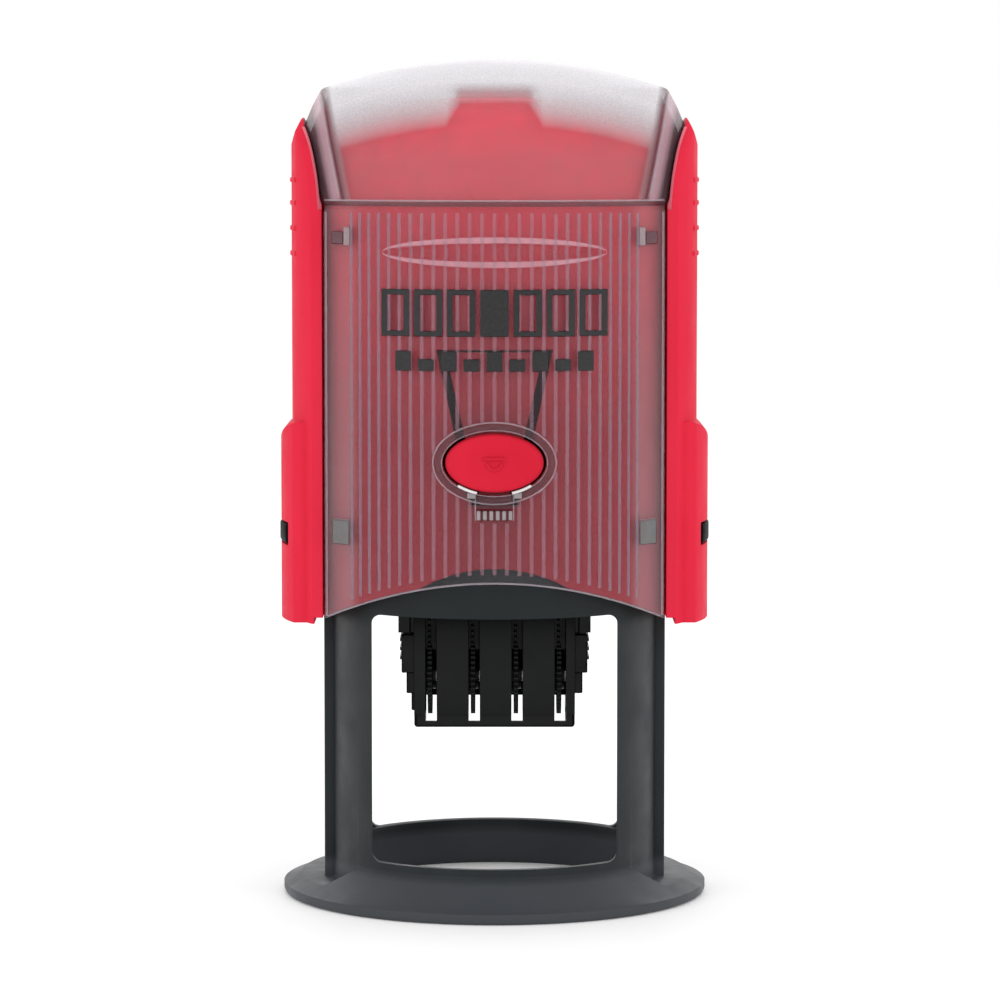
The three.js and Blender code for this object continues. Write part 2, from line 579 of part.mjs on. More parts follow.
addNode(group, 'frame', frame(), BLACK);
addNode(group, 'ink_pad_cassette', inkPadCassette(), DEEP_BLACK);
addNode(group, 'ink_pad_felt', inkPadFelt(), FELT);
addNode(group, 'main_spring', mainSpring(), STEEL);
addNode(group, 'cap_shell', capShell(), RED);
addNode(group, 'clear_hood', clearHood(), CLEAR);
addNode(group, 'release_button', releaseButton(), RED);
addNode(group, 'lock_button_left', lockButton(-1), DEEP_BLACK);
addNode(group, 'lock_button_right', lockButton(1), DEEP_BLACK);

const carrier = new THREE.Group();
carrier.position.z = AXIS_HEIGHT;
group.add(carrier);
addNode(carrier, 'date_carrier', dateCarrier(), DEEP_BLACK);
addNode(carrier, 'text_plate', textPlate(), RUBBER);
addNode(carrier, 'die_cushion', dieCushion(), FOAM);
addNode(carrier, 'date_guard', dateGuard(), DEEP_BLACK);
addNode(carrier, 'printing_bridge', printingBridge(), DEEP_BLACK);
addNode(carrier, 'wheel_axle', wheelAxle(), STEEL);
for (let i = 0; i < WHEEL.count; i += 1) {
  addNode(carrier, `date_band_${i + 1}`, dateBand(i), RUBBER);
  addNode(carrier, `date_wheel_${i + 1}`, dateWheel(i), DEEP_BLACK);
}

export default group;
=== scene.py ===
"""Looks of the self-inking rotary date stamp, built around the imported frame.

Points are written in millimetres in the row frame: X across the front, -Y the front, Z up.
"""

import math
from types import SimpleNamespace as Sizes

import bmesh
import bpy
import numpy as np
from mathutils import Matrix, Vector


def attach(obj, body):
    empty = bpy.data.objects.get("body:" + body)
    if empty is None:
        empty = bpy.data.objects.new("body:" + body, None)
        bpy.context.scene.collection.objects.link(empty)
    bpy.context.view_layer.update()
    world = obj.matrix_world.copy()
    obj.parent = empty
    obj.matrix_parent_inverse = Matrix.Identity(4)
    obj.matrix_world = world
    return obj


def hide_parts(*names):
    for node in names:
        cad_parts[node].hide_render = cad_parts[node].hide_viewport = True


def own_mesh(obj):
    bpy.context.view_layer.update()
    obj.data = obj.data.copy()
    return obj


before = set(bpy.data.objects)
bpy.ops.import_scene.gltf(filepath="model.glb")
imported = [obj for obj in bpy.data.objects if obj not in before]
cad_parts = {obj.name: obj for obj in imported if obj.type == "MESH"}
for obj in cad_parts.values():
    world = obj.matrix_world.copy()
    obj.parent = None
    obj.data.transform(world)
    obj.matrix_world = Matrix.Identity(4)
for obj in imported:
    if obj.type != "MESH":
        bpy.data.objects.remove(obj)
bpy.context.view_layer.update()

MM = 0.001
REACH = 80  # past every surface of the object, for tools that cut right through
WELD = 0.002  # points nearer than this become one
SHARP_ANGLE = 32  # edges that turn by more degrees than this look sharp
FLOOR = 2500  # half the width of the studio's floor


# ---------------------------------------------------------------- driving dimensions, as in the CAD

AXIS_HEIGHT = 40.5
CAP_STROKE = 34
GAP = 0.3

FOOT = Sizes(outer=28, rim=1.4, top=5, bore=20.4, ledge=2.5, ledge_half=12.6)
TUBE = Sizes(outer=21.7, inner=20.9, top=59.6)
WINDOW = Sizes(half=15.9, back_half=16.8, bottom=6.1, top=38.4, corner=1.3)
GUIDE = Sizes(outer=22.45, inner=2.6, outer_y=4.6, foot=23.5)
LATCH = Sizes(half=9, bottom=52)
DECK = Sizes(bottom=58.2, post=3.4, post_top=61.2)
PAD = Sizes(half=19.3, round=20.4, bottom=50.5, top=57.8, roof=1.6, felt=18.6, face=47.3,
            worn=((0, 0.9), (0.12, 0.45), (0.4, 0.12), (0.9, 0)))
PULL = Sizes(half=7, root=19.4, notch_half=5, notch=20.6, notch_end=23, ridge=20.9, ridge_end=21.45,
             ridges=(-3.6, -1.8, 0, 1.8, 3.6))
PAD_SLOT = Sizes(half=19.7, bottom=46.9, shelf=1.2, shelf_inner=19)

DOME = Sizes(base=91.1, top=110, width=25.3, depth=24.6, curve=0.00737, blend=0.22)
SIDE_LINE = [(91.1, 25.3), (96.5, 25.3), (101.2, 25.1), (104, 23.9), (106.2, 22.7), (110, 20.6)]
HOOD = Sizes(half=22, wall=1, low=30, wide_at=102, over=115, arch_radius=45.5, arch_top=43.2)
SHELL = Sizes(outset=1.3, inset=2.2, roof=104.8, ceiling=103.7, arch_radius=17.9, arch_top=45.05,
              arch_half=18)
CROWN = Sizes(half_x=5, top=106.4)
CHEEK = Sizes(round=26.7, half=12.2, bottom=36.8, spring=90, top=102.4, heel=23.4, heel_tall=0.8,
              lean=((27, 97.9), (25.4, 102)))
CHAMFER = Sizes(wide=0.5, past=0.9, tall=12.2, slope=0.336)
GROOVE = Sizes(half=5.2, outer=22.85)
SEAT = Sizes(inner=6.2, outer=7.4, down=2.2, up=0.4)
BULGE = Sizes(round=28.2, half=10.6, top=63, fillet=3)
GRIP = Sizes(heights=(84.7, 88, 91.3, 94.3), half=6.5, tall=0.8, proud=0.22)
BUTTON = Sizes(height=58.6, half_wide=6.25, half_tall=3.7, face=25.1,
               rim=((0, 0.75), (0.06, 0.5), (0.22, 0.28), (0.5, 0.12), (1, 0.03), (1.8, 0)))
TONGUE = Sizes(root=72.6, root_half=6.2, neck=61.5, neck_half=3.7, waist=57, tip_half=2, tip=53.4)
LOCK = Sizes(height=48.2, tall=2.4, half=8, face=28.35, inner=24.5, pocket=22, lines=(-3.2, 0, 3.2))
SPRING = Sizes(radius=5, wire=1, turns=7.5, rise=(0, 0.045, 0.955, 1))

PIN = Sizes(radius=1.6, slot_half=2, reach=26)
PLATE = Sizes(radius=18.8, face=6.5, rubber=2, foam=0.8, slot_half=2.95, slot_long=11.1, relief=0.9,
              dots=40, border=3.6, dot=0.55, big_dot=0.85, rings=((0.1, 0.9), (1.6, 1.95)),
              rules=(4.3, 6.4, 8.5, -5.1, -7.2, -9.3))
WHEEL = Sizes(count=4, pitch=5.68, radius=5.3, thick=0.6, teeth=44, tooth=0.3, y=-0.6, z=-11.6)
DRUM = Sizes(radius=2.5, narrow=1.7, boss=2, boss_long=0.45, bore=1.3)
AXLE = Sizes(radius=1, half=11.2)
GUARD = Sizes(half=10.6, bottom=-18.3, bar=0.8, top=-0.8, rail=1.2, slot_left=0.6, slot_right=0.9, bow=34,
              front=5.6, back=5.8, middle=-9, spread=0.28, shell=-16.6, wall=0.85, inside=9.55, cavity=-17.2,
              web=4.4, web_top=-16.3, room=3.6, room_top=-16, ends=9.4, grip=12, grip_end=12.45, grip_half=4.9,
              blocks=((11.2, -5.8, -0.8, 4.6), (12.25, -11, -5.9, 4.9), (11.6, -13.7, -10.9, 5),
                      (10.95, -16, -13.6, 4.7)),
              teeth=(-6.4, -7.6, -8.8), bumps=8, bump_top=-1.9, bump_pitch=0.75,
              bump=((0, 0.06), (0.03, 0.15), (0.1, 0.2), (0.25, 0.22), (1.2, 0.22)))
BRIDGE = Sizes(half=10.9, thick=0.95, bottom=-5.9)


# ---------------------------------------------------------------- looks of the hood

RIBS = Sizes(each_side=13, turn=0.0623, width=0.5, proud=0.14, top=90.2, margin=1.2,
             profile=((-1, -0.06), (-0.75, 0.6), (-0.3, 1), (0.3, 1), (0.75, 0.6), (1, -0.06)))
RECESS = Sizes(height=85.25, half=14.3, tall=1.95, floor_half=13.9, floor_tall=1.15, deep=0.5)
# The collar's last runs, in degrees round it, are where glints are painted.
COLLAR = Sizes(half_wide=7.95, half_tall=5.3, rim=0.24, tip_half=2.8, tip=(51, 57),
               chips=((225, 250), (290, 315)))
NOTCH = Sizes(half=2.35, low=51.3, high=55.4,
              plates=((2.34, 52.72, 54.5, 0.05), (2.33, 51.32, 52.62, 0.02)))
ROW = Sizes(count=6, start=-2.25, pitch=0.81, wide=0.45, low=51.38, high=52.56, pads=(-3.45, 2.45),
            pad=1, pad_low=54.1, pad_high=54.9)
STRIP = Sizes(days=7, filled=3, start=-14.4, pitch=4.2, box=3.6, low=74.6, high=80.6, line=0.75)
MARKS = Sizes(count=9, start=-12.6, pitch=2.9, wide=2, low=70.2, tall=(2.6, 1.6))
SLOT = Sizes(wide=1.2, low=0.3)
TABS = {"catch": (19.45, 20.95, 86.15, 87.75), "foot": (18.55, 19.35, 85.95, 88.3),
        "lower": (18.75, 20.9, 47.5, 50.6)}
EDGE_BAND = Sizes(low=(92.0, 19.9), high=(106, 22.9))
LEDGE = Sizes(low=90.8, high=91.5, bead=91.75,
              groove=((-0.9, 0), (-0.7, 0.12), (-0.5, 0.5), (-0.1, 0.55), (0.1, 0.45), (0.35, 0.2),
                      (0.6, 0.1)))


# ---------------------------------------------------------------- camera and lamps, in metres

CAMERA = Sizes(place=(0, -0.56, 0.0979), down=4.69, lens=152.7, shift=0.0055)
MIDDLE = (0, 0, 0.06)
LAMPS = {"key_left": ((-0.42, -0.42, 0.32), (0.25, 0.5), 0.45),
         "key_right": ((0.42, -0.42, 0.32), (0.25, 0.5), 0.45),
         "top_soft": ((0, 0.05, 0.6), (0.5, 0.5), 0.5),
         "rear_soft": ((0, 0.6, 0.3), (0.6, 0.3), 0.3)}


# ---------------------------------------------------------------- meshes

PLACES = {"x": lambda a, b, c: (c, a, b), "y": lambda a, b, c: (a, c, b), "z": lambda a, b, c: (a, b, c)}


def new_object(name, data):
    obj = bpy.data.objects.new(name, data)
    bpy.context.scene.collection.objects.link(obj)
    return obj


def mesh_object(points, faces, name="shape"):
    """A new object from points in millimetres, with its faces turned outwards."""
    mesh = bpy.data.meshes.new(name)
    mesh.from_pydata([tuple(float(c) * MM for c in p) for p in points], [], faces)
    bm = bmesh.new()
    bm.from_mesh(mesh)
    bmesh.ops.recalc_face_normals(bm, faces=bm.faces)
    bm.to_mesh(mesh)
    bm.free()
    return new_object(name, mesh)


def loft(rings, closed=False):
    """Joins equal loops of points side by side, and fills the end loops unless the loft is closed."""
    count, size = len(rings), len(rings[0])
    faces = []
    for i in range(count if closed else count - 1):
        j = (i + 1) % count
        for k in range(size):
            n = (k + 1) % size
            faces.append((i * size + k, i * size + n, j * size + n, j * size + k))
    if not closed:
        faces.append(tuple(range(size)))
        faces.append(tuple(range((count - 1) * size, count * size)))
    return mesh_object([p for ring in rings for p in ring], faces)


def prism(outline, low, high, axis="z"):
    """An outline stood between two places along an axis."""
    place = PLACES[axis]
    return loft([[place(a, b, c) for a, b in outline] for c in (low, high)])


def lathe(profile, steps=192):
    """A closed profile of (radius, height) turned about Z."""
    return loft([[(r * math.cos(t), r * math.sin(t), z) for r, z in profile] for t in turns_of(steps)], True)


def turns_of(count):
    """Equal steps round a full turn."""
    return [2 * math.pi * i / count for i in range(count)]


def arc(cx, cy, rx, ry, start, end, steps):
    turns = [start + (end - start) * i / steps for i in range(steps + 1)]
    return [(cx + rx * math.cos(t), cy + ry * math.sin(t)) for t in turns]


def ellipse(cx, cy, rx, ry, steps=96):
    return arc(cx, cy, rx, ry, 0, 2 * math.pi, steps)[:-1]


def rounded(x0, y0, x1, y1, r, steps=6):
    """A rectangle with rounded corners."""
    quarter = math.pi / 2
    corners = ((x1 - r, y0 + r, -1), (x1 - r, y1 - r, 0), (x0 + r, y1 - r, 1), (x0 + r, y0 + r, 2))
    return [p for cx, cy, k in corners for p in arc(cx, cy, r, r, k * quarter, (k + 1) * quarter, steps)]


def box(low, high):
    (x0, y0, z0), (x1, y1, z1) = low, high
    return prism([(x0, y0), (x1, y0), (x1, y1), (x0, y1)], z0, z1)


def box_pair(low, high):
    """The same box on the right and on the left."""
    (x0, y0, z0), (x1, y1, z1) = low, high
    return [box((x0, y0, z0), (x1, y1, z1)), box((-x1, y0, z0), (-x0, y1, z1))]


def side_box(sign, across, along, up):
    """A box given by three spans, on the right (sign 1) or mirrored to the left (sign -1)."""
    x0, x1 = sorted(sign * x for x in across)
    return box((x0, along[0], up[0]), (x1, along[1], up[1]))


def cylinder(radius, low, high, axis="z", centre=(0, 0), steps=192):
    return prism(ellipse(*centre, radius, radius, steps), low, high, axis)


def applied(obj):
    """Settles an object's modifiers into its mesh."""
    bpy.context.view_layer.update()
    graph = bpy.context.evaluated_depsgraph_get()
    mesh = bpy.data.meshes.new_from_object(obj.evaluated_get(graph), depsgraph=graph)
    obj.modifiers.clear()
    obj.data = mesh
    return obj


def combine(obj, operation, tools):
    """Joins, cuts or crosses an object with tools, which are used up."""
    for tool in tools:
        modifier = obj.modifiers.new("boolean", "BOOLEAN")
        modifier.operation = operation
        modifier.object = tool
        modifier.solver = "MANIFOLD"
    applied(obj)
    for tool in tools:
        bpy.data.objects.remove(tool)
    return obj


def joined(obj, *tools):
    return combine(obj, "UNION", tools)


def cut(obj, *tools):
    return combine(obj, "DIFFERENCE", tools)


def crossed(obj, *tools):
    return combine(obj, "INTERSECT", tools)


def softened(obj, width, segments=3, angle=40):
    """Rounds an object's sharp edges."""
    modifier = obj.modifiers.new("bevel", "BEVEL")
    modifier.width = width * MM
    modifier.segments = segments
    modifier.limit_method = "ANGLE"
    modifier.angle_limit = math.radians(angle)
    modifier.use_clamp_overlap = True
    return applied(obj)


def merged(parts):
    """Several separate shells in one object."""
    bm = bmesh.new()
    for part in parts:
        bm.from_mesh(part.data)
        bpy.data.objects.remove(part)
    mesh = bpy.data.meshes.new("shape")
    bm.to_mesh(mesh)
    bm.free()
    return new_object("shape", mesh)


def clean(obj):
    """Welds doubled points, drops needle faces and shades smooth up to an angle."""
    bm = bmesh.new()
    bm.from_mesh(obj.data)
    bmesh.ops.remove_doubles(bm, verts=bm.verts, dist=WELD * MM)
    bmesh.ops.dissolve_degenerate(bm, edges=bm.edges, dist=WELD * MM)
    bm.to_mesh(obj.data)
    bm.free()
    obj.data.shade_smooth()
    obj.data.set_sharp_from_angle(angle=math.radians(SHARP_ANGLE))


def piece(obj, name, body, materials, replaces=()):
    """Names a finished object, gives it its finish and hangs it on its body."""
    obj.name = name
    obj.data.name = name
    clean(obj)
    obj.data.materials.clear()
    for material in materials:
        obj.data.materials.append(material)
    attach(obj, body)
    if replaces:
        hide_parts(*replaces)
    return obj


def clear_piece(name, parts, material):
    """One piece of the hood, made of separate shells of clear plastic or of the ink printed on it."""
    piece(merged(parts), name, "cap", [material])


# ---------------------------------------------------------------- forms of the cap


def section(z, inset):
    """Half-width and half-depth of the cap's rounded form at a height, drawn in by an inset."""
    base, rise = DOME.base, DOME.top - DOME.base
    if z <= base:
        return DOME.width - inset, DOME.depth - inset
    full = min(base + (z - base) * rise / (rise - inset), DOME.top)
    side = np.interp(full, *zip(*SIDE_LINE))
    crown = math.sqrt(max(0, DOME.top - full) / DOME.curve)
    soft = DOME.blend
    width = max(0, -soft * math.log(math.exp(-side / soft) + math.exp(-crown / soft)))
    depth = DOME.depth * math.sqrt(max(0, 1 - ((full - base) / rise) ** 2))
    return width * (1 - inset / DOME.width), depth * (1 - inset / DOME.depth)


def level(z, width, depth):
    """The ring of points round the cap's form at a height."""
    return [(x, y, z) for x, y in ellipse(0, 0, width, depth, 240)]


def dome_form(inset, low, top=None, fillet=0.0, grooved=False):
    """The cap's rounded form from a height upwards: whole, or cut off flat with a rounded edge."""
    base = DOME.base
    rise = DOME.top - base - inset
    groove = {base + up: deep for up, deep in LEDGE.groove}
    heights = [low, *groove]
    heights += [base + rise * math.sin(math.pi / 2 * k / 72) for k in range(4, 72)]
    heights.append(base + rise * 0.9999)
    if top is not None:
        heights = [z for z in heights if z < top - fillet] + [top - fillet]
    rings = []
    for z in heights:
        width, depth = section(z, inset)
        inward = groove.get(z, 0) if grooved else 0
        rings.append(level(z, width - inward, depth - inward))
    if top is not None:
        width, depth = section(top - fillet, inset)
        for k in range(1, 9):
            turn = math.pi / 2 * k / 8
            inward = fillet * (1 - math.cos(turn)) * 1.6
            rings.append(level(top - fillet + fillet * math.sin(turn), width - inward, depth - inward))
    return loft(rings)


def hood_area(margin):
    """The room that the hood takes up between the red sides, widening above the panels."""
    half = HOOD.half + margin
    wide = DOME.width + 0.4 + margin
    right = [(half, HOOD.low), (half, DOME.base), (wide, HOOD.wide_at), (wide, HOOD.over)]
    return prism(right + [(-x, z) for x, z in reversed(right)], -REACH, REACH, "y")


def below_arch(radius, top):
    """A round bar through the cap from front to back, under an arch."""
    return prism(ellipse(0, top - radius, radius, radius, 256), -REACH, REACH, "y")


def below_hood(lift):
    """What lies under the hood's arched lower edge, or under that edge raised by a lift."""
    floor = box((-REACH, -REACH, -REACH), (REACH, REACH, HOOD.low))
    return [below_arch(HOOD.arch_radius + lift, HOOD.arch_top + lift), floor]


def arch_height(x, lift=0.0):
    """Height of the hood's arched lower edge at a place across the panel."""
    radius = HOOD.arch_radius + lift
    return HOOD.arch_top + lift - radius + math.sqrt(radius ** 2 - x ** 2)


def panel_point(x, z, proud=0, side=-1):
    """A point on the hood's front (side -1) or back (side 1) panel."""
    width, depth = DOME.width + proud, DOME.depth + proud
    return x, side * depth * math.sqrt(1 - (x / width) ** 2), z


def tongue_outline(margin, end=0):
    """The button's sprung tongue from the front, with a margin at its sides and another at its ends."""
    corners = ((TONGUE.tip_half, TONGUE.tip - end), (TONGUE.tip_half, TONGUE.waist),
               (TONGUE.neck_half, TONGUE.neck), (TONGUE.root_half, TONGUE.root + end))
    right = [(half + margin, z) for half, z in corners]
    return right + [(-x, z) for x, z in reversed(right)]


def button_oval(margin):
    return BUTTON.half_wide + margin, BUTTON.half_tall + margin


def button_outline(margin):
    return ellipse(0, BUTTON.height, *button_oval(margin))


def pad_passage(top=PAD.top + GAP):
    """The room that the ink pad needs on its way out to the back."""
    return box((-PAD_SLOT.half, 0, PAD_SLOT.bottom), (PAD_SLOT.half, REACH, top))


def front(outline):
    """A cutting prism that acts on the front half only."""
    return prism(outline, -REACH, 0, "y")


# ---------------------------------------------------------------- materials


class Finish:
    """A procedural material: a Principled shader with nodes for its colour, roughness and relief."""

    def __init__(self, name, colour, roughness, metallic=0.0, specular=0.5):
        self.material = bpy.data.materials.new(name)
        self.material.use_nodes = True
        self.tree = self.material.node_tree
        self.shader = self.tree.nodes["Principled BSDF"]
        self.put(self.shader, {"Base Color": (*colour, 1), "Roughness": roughness, "Metallic": metallic,
                               "Specular IOR Level": specular})
        self.place = self.node("ShaderNodeTexCoord").outputs["Object"]
        self.normal = None

    def put(self, node, values):
        for socket, value in values.items():
            target = node.inputs[socket]
            if isinstance(value, bpy.types.NodeSocket):
                self.tree.links.new(value, target)
            else:
                target.default_value = value

    def node(self, kind, inputs=None, **settings):
        made = self.tree.nodes.new(kind)
        for key, value in settings.items():
            setattr(made, key, value)
        self.put(made, inputs or {})
        return made

    def math(self, operation, *values, clamp=False):
        """The result of one sum on plain values or sockets."""
        made = self.node("ShaderNodeMath", dict(enumerate(values)), operation=operation, use_clamp=clamp)
        return made.outputs[0]

    def noise(self, size, detail, stretch=(1, 1, 1), rough=0.55):
        """Noise whose features are about size millimetres across."""
        mapped = self.node("ShaderNodeMapping", {"Vector": self.place, "Scale": stretch})
        made = self.node("ShaderNodeTexNoise", {"Vector": mapped.outputs[0], "Scale": 1 / (size * MM),
                                                "Detail": detail, "Roughness": rough})
        return made.outputs[0]

    def cells(self, size):
        made = self.node("ShaderNodeTexVoronoi", {"Vector": self.place, "Scale": 1 / (size * MM)})
        return made.outputs["Distance"]

    def spread(self, value, low, high, start=0.3, end=0.7):
        """Carries a value from one range to another."""
        made = self.node("ShaderNodeMapRange", {"Value": value, "From Min": start, "From Max": end,
                                                "To Min": low, "To Max": high})
        return made.outputs[0]

    def rise(self, value, start, end):
        """Rises from 0 to 1 as a value goes from start to end."""
        return self.spread(value, 0.0, 1.0, start, end)

    def patches(self, size, detail, low=0.0, high=1.0, start=0.3, end=0.7, stretch=(1, 1, 1)):
        """Soft patches of noise, from low to high."""
        return self.spread(self.noise(size, detail, stretch), low, high, start, end)

    def height(self):
        """Height above the foot, in millimetres."""
        parts = self.node("ShaderNodeSeparateXYZ", {"Vector": self.place})
        return self.math("MULTIPLY", parts.outputs["Z"], 1 / MM)

    def across(self):
        """Distance from the middle plane, in millimetres."""
        parts = self.node("ShaderNodeSeparateXYZ", {"Vector": self.place})
        return self.math("MULTIPLY", self.math("ABSOLUTE", parts.outputs["X"]), 1 / MM)

    def mix(self, factor, first, second):
        """Mixes two colours."""
        made = self.node("ShaderNodeMix", data_type="RGBA")
        for socket, value in zip((made.inputs[0], made.inputs[6], made.inputs[7]), (factor, first, second)):
            if isinstance(value, bpy.types.NodeSocket):
                self.tree.links.new(value, socket)
            else:
                socket.default_value = (*value, 1)
        return made.outputs[2]

    def blend(self, factor, first, second):
        """Mixes two plain values."""
        return self.node("ShaderNodeMix", {0: factor, 2: first, 3: second}).outputs[0]

    def soft_edges(self, radius):
        """Rounds the look of edges and returns how near an edge each point is, from 0 to 1."""
        self.normal = self.node("ShaderNodeBevel", {"Radius": radius * MM}, samples=4).outputs[0]
        flat = self.node("ShaderNodeNewGeometry").outputs["Normal"]
        dot = self.node("ShaderNodeVectorMath", {0: self.normal, 1: flat}, operation="DOT_PRODUCT")
        return self.spread(dot.outputs["Value"], 1.0, 0.0, 0.8, 0.99)

    def relief(self, value, depth, strength=1.0):
        """Raises the surface by a value between 0 and 1, depth millimetres at most."""
        made = self.node("ShaderNodeBump", {"Height": value, "Distance": depth * MM, "Strength": strength})
        if self.normal is not None:
            self.put(made, {"Normal": self.normal})
        self.normal = made.outputs[0]

    def grain(self, size, depth):
        """Gentle waves with fine spark-eroded grain on them."""
        self.relief(self.noise(3, 2), 0.006, 0.5)
        self.relief(self.noise(size, 2), depth)

    def moulded(self, colour, tint, rubbed, edge, worn):
        """The colour of moulded plastic, with flow marks and with edges rubbed bright."""
        near_edge = self.soft_edges(edge)
        base = self.mix(self.patches(9, 2, stretch=(1, 1, 0.4)), colour, tint)
        return self.mix(self.math("MULTIPLY", near_edge, self.patches(2.2, 4, 0.0, worn)), base, rubbed)

    def glancing(self, haze, gloss):
        """Haze that thickens where the surface is seen at a glancing angle, a painted stand-in for the
        reflection that clear plastic shows there.
        """
        grazing = self.node("ShaderNodeLayerWeight", {"Blend": 0.5}).outputs["Facing"]
        return self.math("MULTIPLY_ADD", self.math("POWER", grazing, 4.0), gloss, haze, clamp=True)

    def clear(self, base, haze, roughness):
        """Finishes clear plastic. The haze is the share of light that it stops."""
        self.relief(self.noise(0.16, 3), 0.004)
        smudge = self.patches(5, 4, roughness - 0.05, roughness + 0.07)
        return self.done(base, smudge, Alpha=haze)

    def done(self, colour, roughness, **more):
        """The finished material. Further sockets are named with _ for each space."""
        others = {key.replace("_", " "): value for key, value in more.items()}
        self.put(self.shader, {"Base Color": colour, "Roughness": roughness, **others})
        if self.normal is not None:
            self.put(self.shader, {"Normal": self.normal})
        return self.material


def plastic(name, colour, tint, roughness, grain, grain_depth, edge, specular, worn, ior=1.5):
    """Moulded plastic: flow marks in its colour, fine grain, smudges and polished edges."""
    made = Finish(name, colour, roughness, specular=specular)
    base = made.moulded(colour, tint, tuple(min(1, c * 1.5 + 0.012) for c in colour), edge, worn)
    made.grain(grain, grain_depth)
    smudge = made.patches(4.5, 5, roughness - 0.07, roughness + 0.09)
    return made.done(base, smudge, IOR=ior)


def clear_plastic(name, haze, colour, roughness):
    """Clear plastic of an even haze."""
    made = Finish(name, colour, roughness)
    cloud = made.glancing(made.patches(3.5, 4, haze * 0.88, haze * 1.12), 0.5)
    base = made.mix(made.patches(1.2, 3), colour, tuple(c * 0.9 for c in colour))
    return made.clear(base, cloud, roughness)


def dome_plastic():
    """The frosted dome: hazier towards its top, with painted shade and a painted highlight along its bevelled
    flanks.
    """
    base = (0.7, 0.68, 0.71)
    made = Finish("clear_plastic_frosted", base, 0.45)
    (z0, x0), (z1, x1) = EDGE_BAND.low, EDGE_BAND.high
    slope = (x1 - x0) / (z1 - z0)
    height, across = made.height(), made.across()
    beyond = made.math("SUBTRACT", across, made.math("MULTIPLY_ADD", height, slope, x0 - z0 * slope))
    flank = made.math("MULTIPLY", made.rise(beyond, 0.7, 1.6), made.spread(height, 1.0, 0.3, 101.0, 105.0))
    level_line = made.math("MULTIPLY_ADD", made.math("MULTIPLY", across, across), 0.008, height)
    over_crown = made.math("MULTIPLY_ADD", made.spread(across, -2.8, 0.0, 4.3, 6.2),
                           made.spread(height, 1.0, 0.0, 105.6, 106.9), level_line)
    speck = made.patches(0.22, 1, 0.85, 1.15)
    haze = made.math("MULTIPLY", made.spread(over_crown, 0.055, 0.75, 101.2, 107.2), speck)
    # Painted shade inside the flank's ridge, a painted highlight along the ridge, and painted shade on the
    # outer flank.
    for share, stopped, tone in ((made.rise(beyond, -1.6, -0.5), 0.38, (0.11, 0.04, 0.055)),
                                 (made.rise(beyond, -0.4, 0.2), 0.4, (0.62, 0.41, 0.47)),
                                 (flank, 0.56, (0.06, 0.04, 0.048))):
        haze = made.blend(share, haze, stopped)
        base = made.mix(share, base, tone)
    made.relief(made.noise(0.28, 2), 0.01)
    return made.done(base, made.patches(5, 4, 0.38, 0.55), Alpha=made.glancing(haze, 0.4))


def panel_plastic():
    """The hood's clear panels, cloudier towards the top and in the plain strips along their upright edges."""
    colour, roughness = (0.6, 0.55, 0.59), 0.24
    made = Finish("clear_plastic", colour, roughness)
    height = made.height()
    cloud = made.math("MULTIPLY", made.patches(3.5, 4, 0.04, 0.05),
                      made.spread(height, 0.55, 1.0, 60.0, 90.0))
    cloud = made.math("MULTIPLY_ADD", made.rise(made.across(), 17.4, 18.6),
                      made.spread(height, 0.085, 0.035, 56.0, 86.0), cloud)
    base = made.mix(made.patches(1.2, 3), colour, (0.54, 0.49, 0.53))
    return made.clear(base, made.glancing(cloud, 0.5), roughness)


def rib_plastic():
    """The hood's thicker ribs, which tint what lies behind them, less so towards the middle."""
    made = Finish("clear_plastic_rib", (0.24, 0.2, 0.25), 0.3)
    outward = made.rise(made.across(), 4.0, 16.0)
    base = made.mix(outward, (0.42, 0.2, 0.25), (0.25, 0.21, 0.27))
    haze = made.math("MULTIPLY", made.spread(outward, 0.2, 0.34, 0.0, 1.0), made.patches(1.5, 3, 0.8, 1.2))
    return made.clear(base, haze, 0.3)


def red_plastic(name, colour, tint, specular):
    return plastic(name, colour, tint, 0.34, grain=0.2, grain_depth=0.002, edge=0.22, specular=specular,
                   worn=0.4, ior=1.2)


def painted_shade_red():
    """The red wall behind the hood, with painted shade darkening it towards the middle and lower down, and
    painted light brightening it towards the top.
    """
    made = Finish("red_plastic_wall_painted_shade", (0.4, 0.004, 0.02), 0.45, specular=0.35)
    made.soft_edges(0.15)
    height = made.height()
    # Painted shade and light: darkest low in the middle, lighter outwards and upwards; the last patches are
    # random tone.
    base = (0.18, 0.003, 0.012)
    for share, tone in ((made.rise(made.across(), 2.0, 21.0), (0.33, 0.006, 0.02)),
                        (made.rise(height, 63.0, 92.0), (0.52, 0.008, 0.03)),
                        (made.rise(height, 96.5, 101.5), (0.66, 0.011, 0.042)),
                        (made.patches(2.5, 4, 0.0, 0.25), (0.2, 0.003, 0.01))):
        base = made.mix(share, base, tone)
    made.relief(made.noise(0.2, 2), 0.004)
    return made.done(base, made.patches(4, 4, 0.38, 0.55),
                     Specular_IOR_Level=made.spread(height, 0.35, 0.02, 97.0, 101.5))


def frame_plastic():
    """The frame's black, greyer on the foot, with painted shade darkening the arch above the legs."""
    made = Finish("frame_plastic", (0.015, 0.019, 0.021), 0.44)
    base = made.moulded((0.016, 0.02, 0.0225), (0.012, 0.0155, 0.0175), (0.05, 0.055, 0.06), 0.2, 0.35)
    # Painted shade: the arch above the legs, under the cap, is darkened.
    shaded = made.rise(made.height(), 36.5, 38.0)
    base = made.mix(shaded, base, (0.011, 0.015, 0.016))
    base = made.mix(made.spread(made.height(), 1.0, 0.0, 4.1, 5.3), base, (0.048, 0.053, 0.06))
    made.grain(0.11, 0.007)
    return made.done(base, made.patches(4.5, 5, 0.37, 0.53),
                     Specular_IOR_Level=made.blend(shaded, 0.22, 0.16))


def dark_plastic(name, specular):
    return plastic(name, (0.0036, 0.0042, 0.0046), (0.005, 0.0056, 0.006), 0.32, grain=0.09,
                   grain_depth=0.004, edge=0.12, specular=specular, worn=0.6)


